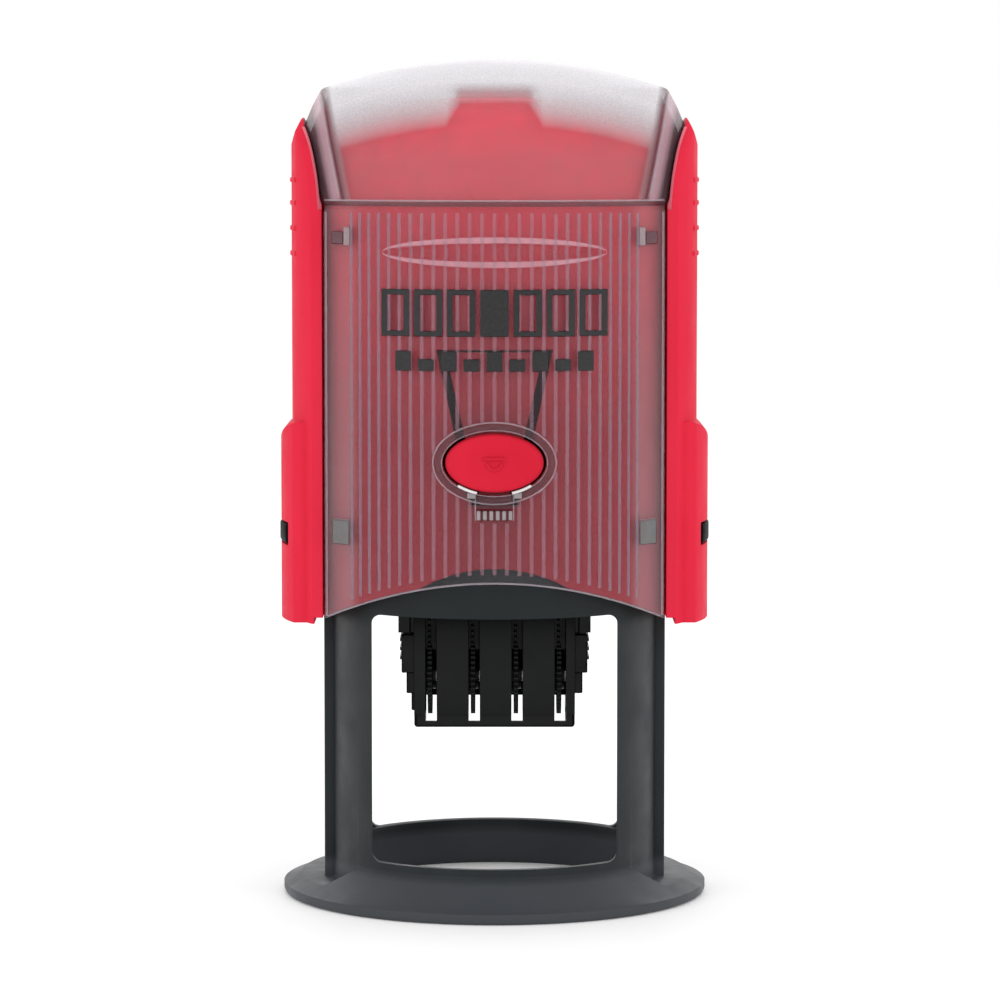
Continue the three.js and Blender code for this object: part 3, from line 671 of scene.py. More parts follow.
def rubber(name, colour, dusted):
    """Laser-cut stamp rubber: a powdery bloom, specks of filler and a matt skin."""
    made = Finish(name, colour, 0.8, specular=0.3)
    made.soft_edges(0.08)
    specks = made.spread(made.cells(0.35), 1.0, 0.0, 0.05, 0.2)
    base = made.mix(made.patches(1.6, 5, start=0.4, end=0.75), colour, dusted)
    base = made.mix(specks, base, tuple(c * 0.45 for c in colour))
    made.relief(made.noise(0.25, 4), 0.02)
    made.relief(made.noise(0.07, 2), 0.008)
    return made.done(base, made.patches(1, 3, 0.7, 0.92))


def felt():
    """Inked felt: matted fibres, darker where the ink has gathered."""
    made = Finish("ink_felt", (0.012, 0.009, 0.02), 0.95, specular=0.2)
    wet = made.patches(5, 4, start=0.4, end=0.65)
    base = made.mix(wet, (0.03, 0.024, 0.045), (0.006, 0.004, 0.012))
    for stretch in ((1, 0.25, 1), (0.25, 1, 1)):
        made.relief(made.noise(0.12, 4, stretch, 0.7), 0.09)
    return made.done(base, made.spread(wet, 0.95, 0.55, 0.0, 1.0), Sheen_Weight=0.35, Sheen_Roughness=0.5)


def foam():
    """Cushion foam: open cells of uneven size."""
    made = Finish("cushion_foam", (0.32, 0.31, 0.28), 0.95, specular=0.2)
    cells = made.cells(0.32)
    base = made.mix(made.rise(cells, 0.1, 0.5), (0.12, 0.115, 0.105), (0.4, 0.39, 0.35))
    made.relief(cells, 0.12)
    return made.done(base, made.patches(2, 3, 0.85, 1.0))


def steel(name, stretch):
    """Drawn steel: fine lines along the wire and a few dull spots."""
    made = Finish(name, (0.55, 0.55, 0.56), 0.3, metallic=1.0)
    lines = made.noise(0.08, 4, stretch)
    base = made.mix(made.patches(1.4, 5, start=0.5, end=0.7), (0.58, 0.58, 0.6), (0.4, 0.39, 0.38))
    made.relief(lines, 0.006)
    return made.done(base, made.spread(lines, 0.22, 0.42))


def printing_ink():
    """Pad-printed ink: thin, slightly uneven black."""
    made = Finish("printing_ink", (0.006, 0.006, 0.007), 0.42, specular=0.4)
    base = made.mix(made.patches(0.4, 4), (0.005, 0.005, 0.006), (0.016, 0.015, 0.017))
    made.relief(made.noise(0.12, 3), 0.004)
    return made.done(base, made.patches(1, 3, 0.34, 0.5))


RED = red_plastic("red_plastic", (0.73, 0.031, 0.064), (0.68, 0.024, 0.052), 0.015)
RED_KEY = red_plastic("red_plastic_key", (0.62, 0.018, 0.04), (0.57, 0.014, 0.034), 0.14)
# A paler red on the cheeks' slanted inner edges: a painted highlight.
RED_EDGE_PAINTED_HIGHLIGHT = red_plastic("red_plastic_edge_painted_highlight", (0.85, 0.2, 0.26), (0.8, 0.15, 0.2), 0.5)
# The red wall behind the hood, with painted shade and light in its colour.
RED_WALL_PAINTED_SHADE = painted_shade_red()
FRAME_BLACK = frame_plastic()
DARK = dark_plastic("dark_plastic", 0.17)
DARK_KEY = dark_plastic("dark_plastic_key", 0.004)
CLEAR = panel_plastic()
RIB_CLEAR = rib_plastic()
RIM_CLEAR_AND_HIGHLIGHT = clear_plastic("clear_plastic_rim_and_highlight", 0.3, (0.5, 0.42, 0.47), 0.16)
TAB_CLEAR = clear_plastic("clear_plastic_tab", 0.62, (0.18, 0.22, 0.22), 0.3)
PALE_CLEAR = clear_plastic("clear_plastic_pale", 0.55, (0.46, 0.41, 0.43), 0.3)
LIP_PAINTED_HIGHLIGHT = clear_plastic("clear_plastic_lip_painted_highlight", 0.3, (0.8, 0.45, 0.53), 0.22)
# Dark clear for the collar's plates, and for the band in it, which is painted shade.
COLLAR_SMOKE_AND_PAINTED_SHADE = clear_plastic("clear_plastic_collar_smoke_and_painted_shade", 0.27, (0.1, 0.045, 0.055), 0.2)
# Near-white clear for painted glints.
PAINTED_GLINT_CLEAR = clear_plastic("clear_plastic_painted_glint", 0.9, (0.85, 0.85, 0.85), 0.15)
FROSTED = dome_plastic()
# A darker clear for the groove under the dome: painted shade.
GROOVE_PAINTED_SHADE = clear_plastic("clear_plastic_groove_painted_shade", 0.4, (0.11, 0.085, 0.095), 0.2)
DARK_CLEAR = clear_plastic("clear_plastic_dark", 0.8, (0.12, 0.05, 0.065), 0.3)
PLATE_RUBBER = rubber("stamp_rubber", (0.17, 0.045, 0.034), (0.25, 0.09, 0.075))
BAND_RUBBER = rubber("band_rubber", (0.14, 0.035, 0.028), (0.2, 0.07, 0.06))
FELT = felt()
FOAM = foam()
SPRING_STEEL = steel("spring_steel", (1, 1, 6))
AXLE_STEEL = steel("axle_steel", (0.08, 1, 1))
INK = printing_ink()


# ---------------------------------------------------------------- frame


def foot_ring():
    """The round foot: a sloping skirt with a rounded rim, cut flat at each side where the cap lands."""
    slope = []
    for k in range(25):
        share = k / 24
        radius = FOOT.outer - share * (FOOT.outer - TUBE.outer)
        slope.append((radius, FOOT.rim + (FOOT.top - FOOT.rim) * share ** 1.25))
    sole = [(FOOT.bore + 0.3, 0), (FOOT.outer - 0.7, 0), (FOOT.outer - 0.2, 0.2), (FOOT.outer, 0.6)]
    top = WINDOW.bottom
    lip = [(TUBE.outer, top - 0.35), (TUBE.outer - 0.1, top - 0.1), (TUBE.outer - 0.35, top),
           (FOOT.bore + 0.35, top), (FOOT.bore + 0.1, top - 0.1), (FOOT.bore, top - 0.35),
           (FOOT.bore, 0.3)]
    ring = lathe(sole + slope + lip, steps=256)
    ledges = box_pair((10, -FOOT.ledge_half, FOOT.ledge), (REACH, FOOT.ledge_half, REACH))
    ledges = [cut(ledge, cylinder(TUBE.outer - 0.05, 0, REACH)) for ledge in ledges]
    return cut(ring, *[softened(ledge, 0.35, 3) for ledge in ledges])


def tube_wall():
    """The tube, open at its front and back windows, behind the button and where the ink pad draws out."""
    wall = lathe([(TUBE.inner, 1), (TUBE.outer, 1), (TUBE.outer, TUBE.top - 0.25),
                  (TUBE.outer - 0.25, TUBE.top), (TUBE.inner, TUBE.top)])
    windows = []
    for half, near, far in ((WINDOW.half, -REACH, 0), (WINDOW.back_half, 0, REACH)):
        outline = rounded(-half, WINDOW.bottom, half, WINDOW.top, WINDOW.corner, 8)
        windows.append(prism(outline, near, far, "y"))
    latch = box((-LATCH.half, -REACH, LATCH.bottom), (LATCH.half, 0, REACH))
    return cut(wall, *windows, latch, pad_passage(DECK.bottom))


def guide_ribs():
    """Upright guide ribs on both side rails, two to a rail, with feet on the ledges."""
    parts = []
    for outer, low, high, edge in ((GUIDE.outer, 1.5, TUBE.top, 0.2),
                                   (GUIDE.foot, 0.6, FOOT.ledge, 0.15)):
        for sign in (1, -1):
            for along in ((GUIDE.inner, GUIDE.outer_y), (-GUIDE.outer_y, -GUIDE.inner)):
                rib = side_box(sign, (TUBE.inner + 0.2, outer), along, (low, high))
                parts.append(softened(rib, edge))
    return parts


def deck():
    """The frame's head, with a boss for the spring and shelves for the ink pad."""
    plate = cylinder(TUBE.inner + 0.2, DECK.bottom, TUBE.top)
    boss = softened(cylinder(DECK.post, TUBE.top - 0.2, DECK.post_top, steps=64), 0.4)
    top = PAD.bottom - GAP
    shelves = box_pair((PAD_SLOT.shelf_inner, -7, top - PAD_SLOT.shelf), (TUBE.inner + 0.2, 5.5, top))
    return joined(plate, boss, *shelves)


def make_frame():
    """The frame: foot, tube, ribs and deck, with an upright slot at each side for the carrier's pins."""
    low = AXIS_HEIGHT - CAP_STROKE
    slot = prism(rounded(-PIN.slot_half, low - PIN.slot_half, PIN.slot_half,
                         AXIS_HEIGHT + PIN.slot_half, PIN.slot_half - 0.01, 10), -REACH, REACH, "x")
    body = joined(foot_ring(), tube_wall(), *guide_ribs())
    body = joined(cut(body, slot), deck())
    piece(body, "frame_moulding", "base", [FRAME_BLACK], ["frame"])


def make_spring():
    """The main spring, with closed coils at both ends."""
    wire, turns = SPRING.wire / 2, SPRING.turns
    low = TUBE.top + GAP + wire
    high = SHELL.ceiling - GAP - wire
    steps, sides = 420, 12
    rings = []
    for i in range(steps + 1):
        share = i / steps
        turn = 2 * math.pi * turns * share
        z = low + (high - low) * float(np.interp(share, [0, 1 / turns, 1 - 1 / turns, 1], SPRING.rise))
        ring = []
        for around in turns_of(sides):
            r = SPRING.radius + wire * math.cos(around)
            ring.append((r * math.cos(turn), r * math.sin(turn), z + wire * math.sin(around)))
        rings.append(ring)
    coil = piece(loft(rings), "main_spring_coil", "base", [SPRING_STEEL], ["main_spring"])
    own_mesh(coil)


# ---------------------------------------------------------------- ink pad


def pad_outline(radius, half):
    """A disc with both sides cut off straight."""
    turn = math.acos(half / radius)
    return (arc(0, 0, radius, radius, turn, math.pi - turn, 64)
            + arc(0, 0, radius, radius, math.pi + turn, 2 * math.pi - turn, 64))


def make_cassette():
    """The pad's cassette, with a well for the felt and a ridged pull at its back."""
    low, high = PAD.bottom, PAD.top
    block = softened(prism(pad_outline(PAD.round, PAD.half), low, high), 0.3)
    well = cylinder(PAD.felt + GAP, 0, high - PAD.roof)
    pull = crossed(box((-PULL.half, PULL.root, low), (PULL.half, REACH, high - 1)),
                   cylinder(TUBE.outer, 0, REACH))
    notch = box((-PULL.notch_half, PULL.notch, low + 1.5), (PULL.notch_half, PULL.notch_end, high - 2.5))
    body = cut(joined(block, pull), well, softened(notch, 0.5))
    ridges = [softened(box((x - 0.3, PULL.ridge, low + 1.2), (x + 0.3, PULL.ridge_end, high - 2.2)), 0.12)
              for x in PULL.ridges]
    piece(joined(body, *ridges), "ink_cassette_moulding", "ink_pad", [DARK],
          ["ink_pad_cassette"])


def make_felt():
    """The felt block, with a worn lower edge and a slightly uneven rim."""
    face, high = PAD.face, PAD.top - PAD.roof - GAP
    rings = []
    places = [(face + up, inward) for up, inward in PAD.worn]
    for z, inward in places + [(high - 0.2, 0), (high, 0.2)]:
        rim = ellipse(0, 0, PAD.felt - inward, PAD.felt - inward, 180)
        rings.append([(x * (1 + 0.002 * math.sin(7 * i)), y * (1 + 0.002 * math.cos(11 * i)), z)
                      for i, (x, y) in enumerate(rim)])
    pad = piece(loft(rings), "ink_felt_block", "ink_pad", [FELT], ["ink_pad_felt"])


# ---------------------------------------------------------------- red cap


def cheeks():
    """The rounded red sides of the cap, arched at the top and softened all round."""
    parts = []
    half, top = CHEEK.half, CHEEK.top
    side = [(-half, 0), (half, 0)] + arc(0, CHEEK.spring, half, top - CHEEK.spring, 0, math.pi, 48)
    for sign in (-1, 1):
        disc = cylinder(CHEEK.round, CHEEK.bottom, top)
        low, high = sorted((sign * 10, sign * REACH))
        lean = [(0, 0), (27, 0), *CHEEK.lean, (25.2, top + 0.2), (0, top + 0.2)]
        lean = prism([(sign * x, z) for x, z in lean], -REACH, REACH, "y")
        part = softened(crossed(disc, prism(side, low, high, "x"), lean), 0.6, 4, 35)
        room = crossed(dome_form(-GAP, HOOD.low - 10), hood_area(GAP))
        heel = side_box(sign, (10, CHEEK.heel), (-REACH, REACH), (0, CHEEK.bottom + CHEEK.heel_tall))
        parts.append(cut(part, room, heel, edge_chamfer(sign, -1), edge_chamfer(sign, 1)))
    return parts


def edge_chamfer(sign, side):
    """Cuts the slanted edge that each cheek turns to the hood, front and back."""
    wide, past = CHAMFER.wide, CHAMFER.past
    rings = []
    for k in range(41):
        z = DOME.base - 0.6 + CHAMFER.tall * k / 40
        x = HOOD.half + GAP + max(0, z - DOME.base) * CHAMFER.slope
        share = max(0, z - CHEEK.spring) / (CHEEK.top - CHEEK.spring)
        arched = CHEEK.half * math.sqrt(max(0, 1 - share ** 2))
        depth = min(arched, math.sqrt(CHEEK.round ** 2 - x ** 2))
        width, deep = section(z, -GAP)
        x = min(x, width * math.sqrt(1 - (depth / deep) ** 2))
        corners = ((x + wide + past, depth + past), (x - past, depth - wide - past), (x - past, depth + past))
        rings.append([(sign * a, side * b, z) for a, b in corners])
    return loft(rings)


def bulges():
    """The fuller lower half of each side, with a rounded shoulder."""
    parts = []
    edge, top, fillet = BULGE.round, BULGE.top, BULGE.fillet
    shoulder = arc(edge - fillet, top - fillet, fillet, fillet, 0, math.pi / 2, 12)
    for sign in (-1, 1):
        disc = cylinder(edge, CHEEK.bottom, top)
        outline = [(sign * x, z) for x, z in [(0, 0), (edge, 0), *shoulder, (0, top)]]
        room = side_box(sign, (CHEEK.heel, REACH), (-BULGE.half, BULGE.half), (0, 120))
        parts.append(softened(crossed(disc, room, prism(outline, -REACH, REACH, "y")), 0.5, 4, 35))
    return parts


def grip_ribs():
    """Short cushioned bars that the fingers hold on each side."""
    parts = []
    edge, proud, tall = CHEEK.round, GRIP.proud, GRIP.tall / 2
    lower = ((-0.5, -tall), (-0.1, -tall), (proud - 0.06, -0.28))
    profile = [*lower, (proud, 0), *((out, -up) for out, up in reversed(lower))]
    for z in GRIP.heights:
        for sign in (-1, 1):
            bar = lathe([(edge + out, z + up) for out, up in profile])
            room = side_box(sign, (20, REACH), (-GRIP.half, GRIP.half), (z - 1, z + 1))
            parts.append(crossed(bar, room))
    return parts


def slanted_slots():
    """The two open slots that free the button's tongue, seen dark through the hood."""
    return front(tongue_outline(SLOT.wide, SLOT.low))


def cap_wall():
    """The red wall and roof behind the hood, cut off along the hood's arch and short of the heels."""
    wall = dome_form(SHELL.outset, HOOD.low, SHELL.roof, 0.5)
    corners = box_pair((20, -REACH, 0), (REACH, REACH, CHEEK.bottom + CHEEK.heel_tall))
    return cut(wall, *below_hood(0.12), *corners)


def cap_crown():
    """The small block on the red roof, which follows the dome's form."""
    form = dome_form(SHELL.outset + 0.04, HOOD.low, CROWN.top, 0.6)
    return crossed(form, box((-CROWN.half_x, -REACH, SHELL.roof - 1.2),
                             (CROWN.half_x, REACH, CROWN.top + 1)))


def cap_openings():
    """What is cut out of the cap: hollow, guide grooves, pin holes, lock pockets, and the wall's openings."""
    ceiling = SHELL.ceiling
    hollow = dome_form(SHELL.inset, HOOD.low - 10, ceiling, 0.8)
    grooves = box_pair((10, -GROOVE.half, 0), (GROOVE.outer, GROOVE.half, ceiling - 2))
    journal = cylinder(PIN.radius + GAP, -PIN.reach, PIN.reach, "x", (0, AXIS_HEIGHT), 64)
    half, tall = LOCK.half + GAP, LOCK.tall / 2 + GAP
    pockets = box_pair((LOCK.pocket, -half, LOCK.height - tall), (REACH, half, LOCK.height + tall))
    arch = crossed(below_arch(SHELL.arch_radius, SHELL.arch_top),
                   box((-SHELL.arch_half, -REACH, 0), (SHELL.arch_half, REACH, 60)))
    return [hollow, *grooves, journal, *pockets, pad_passage(), arch, slanted_slots(),
            front(button_outline(GAP))]


def cap_finish(face):
    """Which of the cap's materials a face takes: plain red, the wall behind the hood with its painted shade,
    or the slanted edge with its painted highlight.
    """
    x, y, z = face.center / MM
    width, depth = section(z, SHELL.outset - 0.1)
    inward = -face.normal.x if x > 0 else face.normal.x
    outward = face.normal.y if y > 0 else -face.normal.y
    # The slanted edges that face the hood take the paler red, a painted highlight.
    if z > DOME.base - 0.6 and inward > 0.35 and outward > -0.2 and abs(x) > HOOD.half:
        return 2
    behind = (x / max(width, 1)) ** 2 + (y / max(depth, 1)) ** 2 < 1
    return 1 if behind and (z > DOME.base or abs(x) < HOOD.half) else 0


def make_cap():
    """The red cap, with a round seat for the spring under its roof."""
    body = joined(cap_wall(), *cheeks(), *bulges(), *grip_ribs(), cap_crown())
    inner, outer, low, high = SEAT.inner, SEAT.outer, SHELL.ceiling - SEAT.down, SHELL.ceiling + SEAT.up
    seat = lathe([(inner, low), (outer, low), (outer, high), (inner, high)], steps=96)
    body = joined(cut(body, *cap_openings()), seat)
    cap = piece(body, "cap_moulding", "cap", [RED, RED_WALL_PAINTED_SHADE, RED_EDGE_PAINTED_HIGHLIGHT], ["cap_shell"])
    for face in cap.data.polygons:
        face.material_index = cap_finish(face)


# ---------------------------------------------------------------- clear hood


def hook_windows():
    """The windows that the hood's snap tabs fill, front and back."""
    tools = []
    for near, far, low, high in TABS.values():
        for y0, y1 in ((-REACH, -8), (8, REACH)):
            tools += box_pair((near - 0.05, y0, low - 0.05), (far + 0.05, y1, high + 0.05))
    return tools


def make_hood():
    """The one-piece clear hood: panels front and back, a groove above them, and the frosted dome."""
    skin = cut(dome_form(0, HOOD.low, grooved=True), dome_form(HOOD.wall, HOOD.low - 10))
    skin = cut(crossed(skin, hood_area(0)), *below_hood(0))
    notch = front(rounded(-NOTCH.half, NOTCH.low, NOTCH.half, NOTCH.high, 0.3))
    skin = cut(skin, *hook_windows(), front(button_outline(GAP + 0.08)), notch, pad_passage(), lens_dish())
    hood = piece(skin, "hood_moulding", "cap", [CLEAR, FROSTED, GROOVE_PAINTED_SHADE], ["clear_hood"])
    heights = [vertex.co.z / MM for vertex in hood.data.vertices]
    # Faces in the groove take the darker clear, painted shade in the groove; faces above it take the frosted
    # dome.
    for face in hood.data.polygons:
        z = min(heights[i] for i in face.vertices)
        if z > LEDGE.low:
            face.material_index = 1 if z > LEDGE.high else 2


def lens_dish():
    """A shallow lens-shaped finger rest pressed into the front panel."""
    rings = []
    for k in range(1, 32):
        x = -math.cos(math.pi * k / 32) * RECESS.floor_half
        tall = RECESS.floor_tall * math.sqrt(1 - (x / RECESS.floor_half) ** 2)
        _, surface, _ = panel_point(x, 0)
        rings.append([(x, surface - 0.05 + RECESS.deep * b, RECESS.height + a)
                      for a, b in arc(0, 0, tall, 1, 0, math.pi, 16)])
    return loft(rings)


def dish_depth(x, z, side):
    """How far the finger rest lies below the front panel at a point."""
    inside = 1 - (x / RECESS.floor_half) ** 2 - ((z - RECESS.height) / RECESS.floor_tall) ** 2
    if side > 0 or inside <= 0:
        return 0
    return max(0, RECESS.deep * math.sqrt(inside) - 0.05)


def oval_ring(height, outer, inner, proud, sink=0.1, steps=160, run=None):
    """A rounded bead that follows the front panel between two ovals, all round or over a run of degrees."""
    rings = []
    profile = [(0, -sink), (0.06, proud * 0.55), (0.25, proud * 0.95), (0.5, proud), (0.75, proud * 0.95),
               (0.94, proud * 0.55), (1, -sink)]
    start, span = (0, 360) if run is None else (run[0], (run[1] - run[0]) * steps / (steps - 1))
    for i in range(steps):
        turn = math.radians(start + span * i / steps)
        ring = []
        for share, rise in profile:
            x = math.cos(turn) * (inner[0] + (outer[0] - inner[0]) * share)
            z = height + math.sin(turn) * (inner[1] + (outer[1] - inner[1]) * share)
            ring.append(panel_point(x, z, rise))
        rings.append(ring)
    return loft(rings, closed=run is None)


def panel_bar(x0, x1, z0, z1, proud, side=-1, sink=0.05):
    """A thin rounded bar or plate lying on a panel."""
    steps = max(2, int(abs(x1 - x0) / 0.6) + 1)
    soft = min(0.12, (x1 - x0) / 3, (z1 - z0) / 3)
    rings = []
    for i in range(steps + 3):
        share = min(max((i - 1) / steps, 0), 1)
        x = x0 + (x1 - x0) * share
        edge = i in (0, steps + 2)
        rise = -sink if edge else proud
        rings.append([panel_point(x, z0, -sink, side), panel_point(x, z0 + soft, rise, side),
                      panel_point(x, z1 - soft, rise, side), panel_point(x, z1, -sink, side)])
    return loft(rings)


def rib_gaps(x, side):
    """Heights that a rib leaves free at its place across the panel, from the lowest up."""
    if side > 0:
        return [(PAD_SLOT.bottom - 0.8, PAD.top + GAP + 0.8)]
    gaps = []
    if abs(x) < COLLAR.tip_half:
        gaps.append(COLLAR.tip)
    if abs(x) < COLLAR.half_wide:
        tall = COLLAR.half_tall * math.sqrt(1 - (x / COLLAR.half_wide) ** 2)
        gaps.append((BUTTON.height - tall, BUTTON.height + tall))
    return gaps


def rib_runs(x, side):
    """The stretches of a rib between its gaps, from the arch to the rib's top."""
    low = arch_height(x) + RIBS.margin
    runs = []
    for bottom, top in rib_gaps(x, side):
        if bottom - low > 0.6:
            runs.append((low, bottom))
        low = max(low, top)
    if RIBS.top - low > 0.6:
        runs.append((low, RIBS.top))
    return runs


def rib_steps(z0, z1):
    """Places along a rib, closer together where it dips through the finger rest, with sunken ends."""
    low, high = RECESS.height - RECESS.floor_tall, RECESS.height + RECESS.floor_tall
    inner = [low + (high - low) * k / 16 for k in range(17)]
    places = [z0 + 0.12] + [z for z in inner if z0 + 0.2 < z < z1 - 0.2] + [z1 - 0.12]
    return [(z0, 0.2)] + [(z, 1) for z in places] + [(z1, 0.2)]


def rib(turn, side, z0, z1):
    """One run of a rib, which follows the panel and dips through the finger rest."""
    middle, half = DOME.width * math.sin(turn), RIBS.width / 2 / DOME.width
    rings = []
    for z, flat in rib_steps(z0, z1):
        dip = dish_depth(middle, z, side)
        ring = []
        for share, rise in RIBS.profile:
            out = rise * RIBS.proud * (flat if rise > 0 else 1) - dip
            ring.append(panel_point((DOME.width + out) * math.sin(turn + share * half), z, out, side))
        rings.append(ring)
    return loft(rings)


def make_ribs():
    """Fine upright ribs on the front and back panels."""
    parts = []
    for side in (-1, 1):
        for k in range(-RIBS.each_side, RIBS.each_side + 1):
            turn = k * RIBS.turn
            parts += [rib(turn, side, *run) for run in rib_runs(DOME.width * math.sin(turn), side)]
    clear_piece("hood_ribs", parts, RIB_CLEAR)


def rim_bead(side, radius=0.13):
    """The bead along a panel's arched lower edge."""
    rings = []
    for i in range(97):
        x = -21.6 + 43.2 * i / 96
        z = arch_height(x, radius)
        rings.append([panel_point(x, z + radius * math.sin(t), radius * math.cos(t) - 0.03, side)
                      for t in turns_of(10)])
    return loft(rings)


def ledge_bead(side, radius=0.12):
    """The fine raised line where the dome begins, above the groove."""
    width, depth = section(LEDGE.bead, 0)
    rings = []
    for i in range(97):
        x = -21.9 + 43.8 * i / 96
        y = side * (depth * math.sqrt(1 - (x / width) ** 2) - 0.02)
        rings.append([(x, y + side * radius * math.cos(t), LEDGE.bead + radius * math.sin(t))
                      for t in turns_of(8)])
    return loft(rings)


def edge_highlight_line(sign, side):
    """A pale upright line where a panel meets the red side, a painted highlight along that edge."""
    outer = HOOD.half - 0.12
    x0, x1 = sorted((sign * outer, sign * (outer - 0.3)))
    return panel_bar(x0, x1, arch_height(x0) + 0.3, RIBS.top, 0.06, side)


def side_ridge(sign, side):
    """The raised line that parts the dome's front from its bevelled flank, which is darkened with painted
    shade.
    """
    (z0, x0), (z1, x1) = EDGE_BAND.low, EDGE_BAND.high
    rings = []
    for i in range(41):
        share = i / 40
        z = z0 + (z1 - z0) * share
        width, depth = section(z, 0)
        swell = 0.22 * math.sin(math.pi * min(share * 6, (1 - share) * 6, 0.5))
        ring = []
        for around in turns_of(8):
            x = x0 + (x1 - x0) * share + swell * math.cos(around)
            y = depth * math.sqrt(max(0, 1 - (x / width) ** 2)) + swell * 0.5 * math.sin(around)
            ring.append((sign * x, side * (y - 0.05), z))
        rings.append(ring)
    return loft(rings)


def make_hood_trim():
    """Beads and rims moulded on the hood, where the plastic is thick; their pale colour is partly the thick
    plastic and partly painted highlight.
    """
    parts = [rim_bead(-1), rim_bead(1), ledge_bead(-1), ledge_bead(1)]
    for sign in (-1, 1):
        for side in (-1, 1):
            parts += [side_ridge(sign, side), edge_highlight_line(sign, side)]
    wide, tall, rim = COLLAR.half_wide, COLLAR.half_tall, COLLAR.rim
    parts.append(oval_ring(BUTTON.height, (wide, tall), (wide - rim, tall - rim), 0.3))
    parts.append(oval_ring(BUTTON.height, button_oval(0.56), button_oval(0.42), 0.3))
    parts += [panel_bar(x, x + 0.15, NOTCH.low, 54.6, 0.2) for x in (-2.5, NOTCH.half)]
    clear_piece("hood_trim", parts, RIM_CLEAR_AND_HIGHLIGHT)


def make_recess_lip():
    """The raised lips above and below the finger rest, which taper to its ends, in a pale pink that paints the
    highlights along the rest's edges.
    """
    outer, inner = (RECESS.half, RECESS.tall), (RECESS.half - 0.06, RECESS.floor_tall)
    lip = oval_ring(RECESS.height, outer, inner, 0.24, steps=240)
    clear_piece("hood_finger_rest_lip", [lip], LIP_PAINTED_HIGHLIGHT)


def make_collar():
    """The band inside the collar, dark with painted shade, the clear plate over the tongue's tip and the strip
    below it.
    """
    outer = (COLLAR.half_wide - 0.3, COLLAR.half_tall - 0.3)
    # The band is a dark sheet of painted shade round the button.
    parts = [oval_ring(BUTTON.height, outer, button_oval(0.6), 0.08, 0.02)]
    parts += [panel_bar(-half, half, low, high, proud, sink=0.5) for half, low, high, proud in NOTCH.plates]
    clear_piece("hood_collar_band", parts, COLLAR_SMOKE_AND_PAINTED_SHADE)


def make_grip_row():
    """The ribbed row under the button with two pale pads above it, and painted glints on the collar."""
    starts = [ROW.start + ROW.pitch * k for k in range(ROW.count)]
    parts = [panel_bar(x, x + ROW.wide, ROW.low, ROW.high, 0.22, sink=0.1) for x in starts]
    parts += [panel_bar(x, x + ROW.pad, ROW.pad_low, ROW.pad_high, 0.25) for x in ROW.pads]
    clear_piece("hood_grip_row", parts, PALE_CLEAR)
    # Near-white crescents at the collar's lower corners are painted glints.
    chips = [oval_ring(BUTTON.height, button_oval(0.5), button_oval(0.12), 0.3, 0.02, 24, run)
             for run in COLLAR.chips]
    clear_piece("hood_painted_glints", chips, PAINTED_GLINT_CLEAR)


def snap_tab(near, far, low, high, sign, side):
    """A tab in its window, flush with the panel and reaching in to the shell."""
    x0, x1 = sorted((sign * near, sign * far))
    outer = [panel_point(x, 0, -0.1, side)[1] for x in (x0, x1)]
    inner = side * (min(abs(y) for y in outer) - 1.6)
    outline = [(x0, outer[0]), (x1, outer[1]), (x1, inner), (x0, inner)]
    return softened(prism(outline, low, high), 0.1)


def make_hooks():
    """The hood's snap tabs: a dark catch with a pale foot above, grey tabs below."""
    for name, material in (("catch", DARK_CLEAR), ("foot", PALE_CLEAR), ("lower", TAB_CLEAR)):
        parts = [snap_tab(*TABS[name], sign, side) for sign in (-1, 1) for side in (-1, 1)]
        clear_piece(f"hood_snap_tabs_{name}", parts, material)


def day_box(x0, filled):
    """The bars of one printed day box: one broad bar if it is filled in, or else the four of its frame."""
    x1, z0, z1, line = x0 + STRIP.box, STRIP.low, STRIP.high, STRIP.line
    if filled:
        return [(x0, x1, z0, z1)]
    return [(x0, x1, z0, z0 + line), (x0, x1, z1 - line, z1),
            (x0, x0 + line, z0, z1), (x1 - line, x1, z0, z1)]


def make_motif():
    """A printed strip of day boxes, with one day filled in: generic, in place of any lettering."""
    bars = []
    for k in range(STRIP.days):
        bars += day_box(STRIP.start + STRIP.pitch * k, k == STRIP.filled)
    for k in range(MARKS.count):
        x, z = MARKS.start + MARKS.pitch * k, MARKS.low
        bars.append((x, x + MARKS.wide, z, z + MARKS.tall[k % 2]))
    clear_piece("printed_day_strip", [panel_bar(*bar, RIBS.proud + 0.04) for bar in bars], INK)


# ---------------------------------------------------------------- buttons


def tongue():
    """The button's sprung tongue, cut from the cap's wall."""
    outer, inner = DOME.depth - SHELL.outset, DOME.depth - SHELL.inset
    return crossed(cut(cylinder(outer, 40, 80), cylinder(inner, 30, 90)), front(tongue_outline(0)))


def oval_knob():
    """The oval head of the button, rounded towards its face."""
    places = [(0, DOME.depth - SHELL.inset + 0.3)]
    places += [(inward, BUTTON.face - behind) for inward, behind in BUTTON.rim]
    rings = []
    for inward, depth in places:
        rings.append([(x, -math.sqrt(depth ** 2 - x ** 2), z) for x, z in button_outline(-inward)])
    return loft(rings)


def button_mark():
    """The raised mark on the button: a stamp's bar over a cup."""
    height, back, out = BUTTON.height, 0.4 - BUTTON.face, -BUTTON.face - 0.12
    bar = box((-1.45, out, height + 0.45), (1.45, back, height + 0.7))
    cup = arc(0, height, 1.05, 0.95, math.pi, 2 * math.pi, 24)
    cup += arc(0, height, 0.75, 0.65, 2 * math.pi, math.pi, 24)
    return [softened(bar, 0.08), softened(prism(cup, out, back, "y"), 0.08)]


